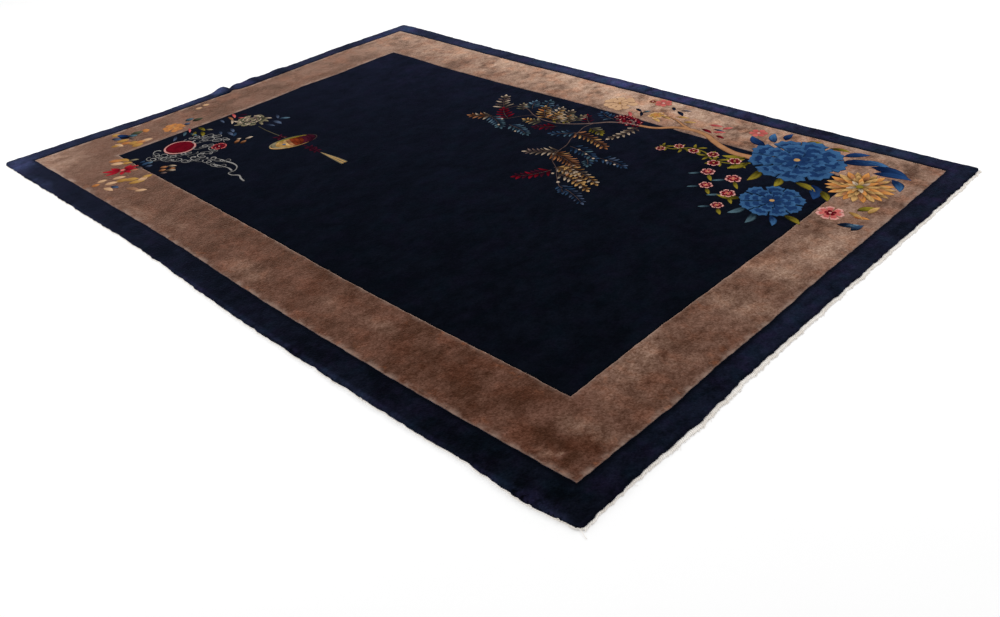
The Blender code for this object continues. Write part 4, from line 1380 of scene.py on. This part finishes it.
# Cotton edges: overcast selvedges, and the cut warps turned into a narrow web
cotton = {
    "light": shade(255, 252, 248), "shade": shade(222, 213, 202), "toneEnds": (0.35, 0.65),
    "fibres": (900.0, 2.0), "grime": (14.0, 3.0), "roughness": 0.85, "sheen": 0.4, "bump": (0.0004, 0.5),
}
selvedge = {
    "radius": 0.0019, "wrapPitch": 0.0075, "ringsPerWrap": 4, "wrapDepth": 0.16, "wear": (0.04, 0.1),
    "sides": 8, "gap": 0.0004, "standOff": 1.15, "endInset": 0.016,
    "knots": (-0.362, -0.211, 0.925, 1.321, 1.523, 1.552, 1.594, 1.671),  # yarn ends on the near edge
    "knotLengths": (0.010, 0.018), "knotHeights": (0.0040, 0.0065), "knotOut": 0.0042, "knotBow": 0.0012,
    "knotFoot": 0.0020, "knotShape": 0.7, "knotRadius": 0.0008, "knotSides": 6, "knotSteps": 9,
}
warpEnds = {
    "inset": 0.010, "webFrom": 0.0008, "webReach": 0.0100,
    "webProfile": ((-0.4, 0.0004), (-0.4, 0.0024), (0.4, 0.0030), (0.8, 0.0025), (1.0, 0.0012),
                   (1.0, 0.0004)),  # share of the reach, height
    "reachStations": (-1.19, -1.05, -0.85, -0.74, -0.06, 0.10, 0.33, 0.55, 1.15),  # the web's reach
    "reachThere": (0.55, 0.66, 0.98, 1.25, 1.25, 0.98, 1.20, 0.92, 0.98), "reachNoise": (0.045, 0.17),
    "pitch": 0.0062, "from": 0.0015, "reach": 0.0114, "slant": 0.0080, "radius": 0.0014, "wave": 0.0010,
    "steps": 6, "sides": 6, "arch": (0.75, 0.3),
    "heights": (0.0026, 0.0016, 0.0008), "lengths": (0.88, 1.08), "slants": (0.5, 1.3), "radii": (0.85, 1.2),
    "tuftPitch": 0.0210, "tuftReach": 0.0022, "tuftDrift": (0.004, 31),
    "cornerTurns": (-4, -16, -28, -40, -52, -64, -76, -88), "cornerLean": 0.35,
    "cornerFrom": -0.001, "cornerReach": 0.0075, "cornerRadius": 0.0017, "cornerHeights": (0.0018, 0.0012),
    "loose": {  # the long thread: from the corner's middle, and how far it runs and curls
        "x": (0.010, 0.036), "y": (-0.016, -0.004, -0.008), "heights": (0.0030, 0.0010),
        "radii": (0.0012, 0.0008),
    },
    "strays": 18, "strayLengths": (0.006, 0.014), "strayBend": 0.010, "strayDrift": -0.004,
    "strayHeights": (0.0012, 0.0006), "strayRadius": 0.00045, "straySides": 4,
}


def cottonFinish():
    finish = Finish("natural_cotton")
    fibres, grime = finish.noise(*cotton["fibres"]), finish.noise(*cotton["grime"])
    tone = finish.graded(fibres * 0.5 + grime * 0.5, cotton["toneEnds"])
    finish.fit({"Base Color": finish.blend(tone, cotton["shade"], cotton["light"]),
                "Roughness": cotton["roughness"], "Sheen Weight": cotton["sheen"],
                "Normal": finish.bump(fibres, *cotton["bump"])})
    return finish


def addTube(points, faces, route, radii, sides, raised=0.0):
    radii, raised = radii + np.zeros(len(route)), raised + np.zeros(len(route))
    along = np.gradient(route, axis=0)
    along /= np.linalg.norm(along, axis=1)[:, None] + 1e-9
    aside = np.stack([-along[:, 1], along[:, 0], 0 * along[:, 0]], axis=1)
    aside /= np.linalg.norm(aside, axis=1)[:, None] + 1e-9
    up = np.cross(along, aside)
    sewTube(faces, len(points), len(route), sides)
    for spot, side, over, radius, base in zip(route, aside, up, radii, raised):
        for angle in np.arange(sides) * 2 * math.pi / sides:
            corner = spot + (side * math.cos(angle) + over * math.sin(angle)) * radius
            points.append((corner[0], corner[1], max(corner[2], 0.0002) + base))


def makeSelvedge(name, side, finish):
    wraps = 2 * rug["halfLength"] / selvedge["wrapPitch"]
    count = round(wraps * selvedge["ringsPerWrap"])
    end = rug["halfLength"] - selvedge["endInset"]
    realX, realY = place(np.linspace(-end, end, count), np.full(count, side * rug["halfWidth"]))
    radius = selvedge["radius"]
    realY = realY + side * (selvedge["gap"] + radius * selvedge["standOff"])
    turn = np.arange(count) * 2 * math.pi / selvedge["ringsPerWrap"]
    spacing, depth = selvedge["wear"]
    worn = 1 + depth * SoftNoise(spacing, 1.0).at(realX, realY)
    radii = radius * (1 + selvedge["wrapDepth"] * np.sin(turn)) * worn
    points, faces = [], []
    addTube(points, faces, np.stack([realX, realY, radii], axis=1), radii, selvedge["sides"])
    shares = np.linspace(0, 1, selvedge["knotSteps"])
    for along in selvedge["knots"] if side < 0 else ():
        edgeX, edgeY = place(np.array([along]), np.array([side * rug["halfWidth"]]))
        long = chance.uniform(*selvedge["knotLengths"])
        tall = chance.uniform(*selvedge["knotHeights"])
        knot = np.stack([
            edgeX[0] + (shares - 0.5) * long,
            edgeY[0] - selvedge["knotOut"] + selvedge["knotBow"] * np.sin(math.pi * shares),
            selvedge["knotFoot"] + tall * np.sin(math.pi * shares) ** selvedge["knotShape"],
        ], axis=1)
        addTube(points, faces, knot, selvedge["knotRadius"], selvedge["knotSides"])
    return addPiece(name, points, faces, finish)


def addWeb(points, faces, side, realX, realY, raised, grown):  # the woven web, as one strip
    profile = warpEnds["webProfile"]
    sewTube(faces, len(points), len(realX), len(profile))
    for x, y, up, grow in zip(realX, realY, raised, grown):
        for share, high in profile:
            far = side * (warpEnds["webFrom"] + share * warpEnds["webReach"] * grow)
            points.append((x + far, y, high + up))


def addNearCorner(points, faces, shares):  # the web turns the near corner, and one long thread has come loose
    cornerX = rug["halfLength"] - rug["cornerRadius"]
    cornerY = -rug["halfWidth"] + rug["cornerRadius"]
    out = rug["cornerRadius"] + warpEnds["cornerFrom"] + shares * warpEnds["cornerReach"]
    low, bow = warpEnds["cornerHeights"]
    for turn in np.radians(warpEnds["cornerTurns"]):
        realTurn = turn - warpEnds["cornerLean"] * shares
        spots = place(cornerX + out * np.cos(realTurn), cornerY + out * np.sin(realTurn))
        route = np.stack([*spots, low + np.sin(math.pi * shares) * bow], axis=1)
        addTube(points, faces, route, warpEnds["cornerRadius"], warpEnds["sides"])
    loose = warpEnds["loose"]
    (startX, runX), (startY, runY, curl), (high, low) = loose["x"], loose["y"], loose["heights"]
    spots = place(cornerX + startX + runX * shares, cornerY + startY + runY * shares + curl * shares**2)
    route = np.stack([*spots, high * (1 - shares) + low], axis=1)
    addTube(points, faces, route, np.linspace(*loose["radii"], len(shares)), warpEnds["sides"])


def makeWarpEnds(name, side, finish):
    points, faces = [], []
    end = rug["halfWidth"] - warpEnds["inset"]
    count = round(2 * end / warpEnds["pitch"])
    flatY = np.linspace(-end, end, count)
    flatX = np.full(count, side * rug["halfLength"])
    realX, realY = place(flatX, flatY)
    raised = lift(flatX, flatY)
    shares = np.linspace(0, 1, warpEnds["steps"])
    arch = np.sin(math.pi * shares)
    spacing, depth = warpEnds["reachNoise"]
    grown = np.interp(flatY, warpEnds["reachStations"], warpEnds["reachThere"])
    grown = grown * (1 + depth * SoftNoise(spacing, 1.0).at(realX, realY))
    addWeb(points, faces, side, realX, realY, raised, grown)
    drift, wave = warpEnds["tuftDrift"]
    tufts = np.abs(np.sin(math.pi * (flatY + drift * np.sin(flatY * wave)) / warpEnds["tuftPitch"]))
    high, fall, bow = warpEnds["heights"]
    thin, thicker = warpEnds["arch"]
    for number in range(count):  # the cut warps that lie over it
        long = warpEnds["reach"] * chance.uniform(*warpEnds["lengths"])
        long = (long + warpEnds["tuftReach"] * tufts[number]) * grown[number]
        slant = warpEnds["slant"] * chance.uniform(*warpEnds["slants"])
        thick = warpEnds["radius"] * chance.uniform(*warpEnds["radii"])
        route = np.stack([
            realX[number] + side * (warpEnds["from"] + shares * long),
            realY[number] - slant * (shares - 0.5) + warpEnds["wave"] * np.sin(shares * 5 + number),
            high - fall * shares**2 + arch * bow,
        ], axis=1)
        addTube(points, faces, route, thick * (thin + thicker * arch), warpEnds["sides"], raised[number])
    if side > 0:
        addNearCorner(points, faces, shares)
    high, low = warpEnds["strayHeights"]
    for _ in range(warpEnds["strays"]):
        number = chance.integers(0, count)
        away = chance.uniform(*warpEnds["strayLengths"])
        bend = chance.uniform(-warpEnds["strayBend"], warpEnds["strayBend"])
        route = np.stack([
            realX[number] + side * (warpEnds["reach"] + shares * away),
            realY[number] + bend * shares**2 + warpEnds["strayDrift"] * shares,
            high * (1 - shares) + low,
        ], axis=1)
        addTube(points, faces, route, warpEnds["strayRadius"], warpEnds["straySides"], raised[number])
    return addPiece(name, points, faces, finish)


cottonLook = cottonFinish()
edgePieces = [
    makeSelvedge("selvedge_cord_near", -1, cottonLook),
    makeSelvedge("selvedge_cord_far", 1, cottonLook),
    makeWarpEnds("warp_web_left", -1, cottonLook),
    makeWarpEnds("warp_web_right", 1, cottonLook),
]
for piece, node in zip(edgePieces, ("selvedge_near", "selvedge_far", "warp_ends_left", "warp_ends_right")):
    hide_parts(node)
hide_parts("pile_rug")
print("edges made:", sum(len(piece.data.polygons) for piece in edgePieces), "faces")


# Pale floor and soft light from the far side
studio = {
    "floor": (0.90, 0.90, 0.90, 1.0), "floorShade": 0.985, "floorGlow": 0.06, "floorGrain": (3.0, 3.0),
    "floorRoughness": 0.8, "floorShine": 0.2, "floorSize": 30.0, "floorDrop": 0.0004,
    "sky": white, "skyStrength": 0.80,
    "lamps": (  # name, place, size, power
        ("key", (0.6, 3.6, 3.6), 3.6, 110.0),
        ("fill", (-3.4, -2.6, 3.0), 2.6, 80.0),
    ),
}


def floorFinish():
    finish = Finish("pale_floor")
    grain = finish.noise(*studio["floorGrain"])
    dim = scaled(studio["floor"], studio["floorShade"])
    finish.fit({
        "Base Color": finish.blend(grain, dim, studio["floor"]),
        "Roughness": studio["floorRoughness"],
        "Specular IOR Level": studio["floorShine"],
        "Emission Color": studio["sky"],
        "Emission Strength": studio["floorGlow"],
    })
    return finish


def makeStudio():
    half = studio["floorSize"] / 2
    corners = [(x * half, y * half, -studio["floorDrop"]) for x, y in ((-1, -1), (1, -1), (1, 1), (-1, 1))]
    data = bpy.data.meshes.new("floor")
    data.from_pydata(corners, [], [(0, 1, 2, 3)])
    data.materials.append(floorFinish().material)
    addObject("floor", data)
    world = bpy.data.worlds.new("studio")
    world.use_nodes = True
    sky = world.node_tree.nodes["Background"]
    sky.inputs["Color"].default_value = studio["sky"]
    sky.inputs["Strength"].default_value = studio["skyStrength"]
    bpy.context.scene.world = world
    for name, spot, size, power in studio["lamps"]:
        lamp = bpy.data.lights.new(name, "AREA")
        lamp.shape = "DISK"
        lamp.size = size
        lamp.energy = power
        holder = addObject(name, lamp)
        holder.location = spot
        aim = -holder.location
        holder.rotation_euler = aim.to_track_quat("-Z", "Y").to_euler()
    bpy.context.scene.view_settings.view_transform = "Standard"


makeStudio()
print("studio made")
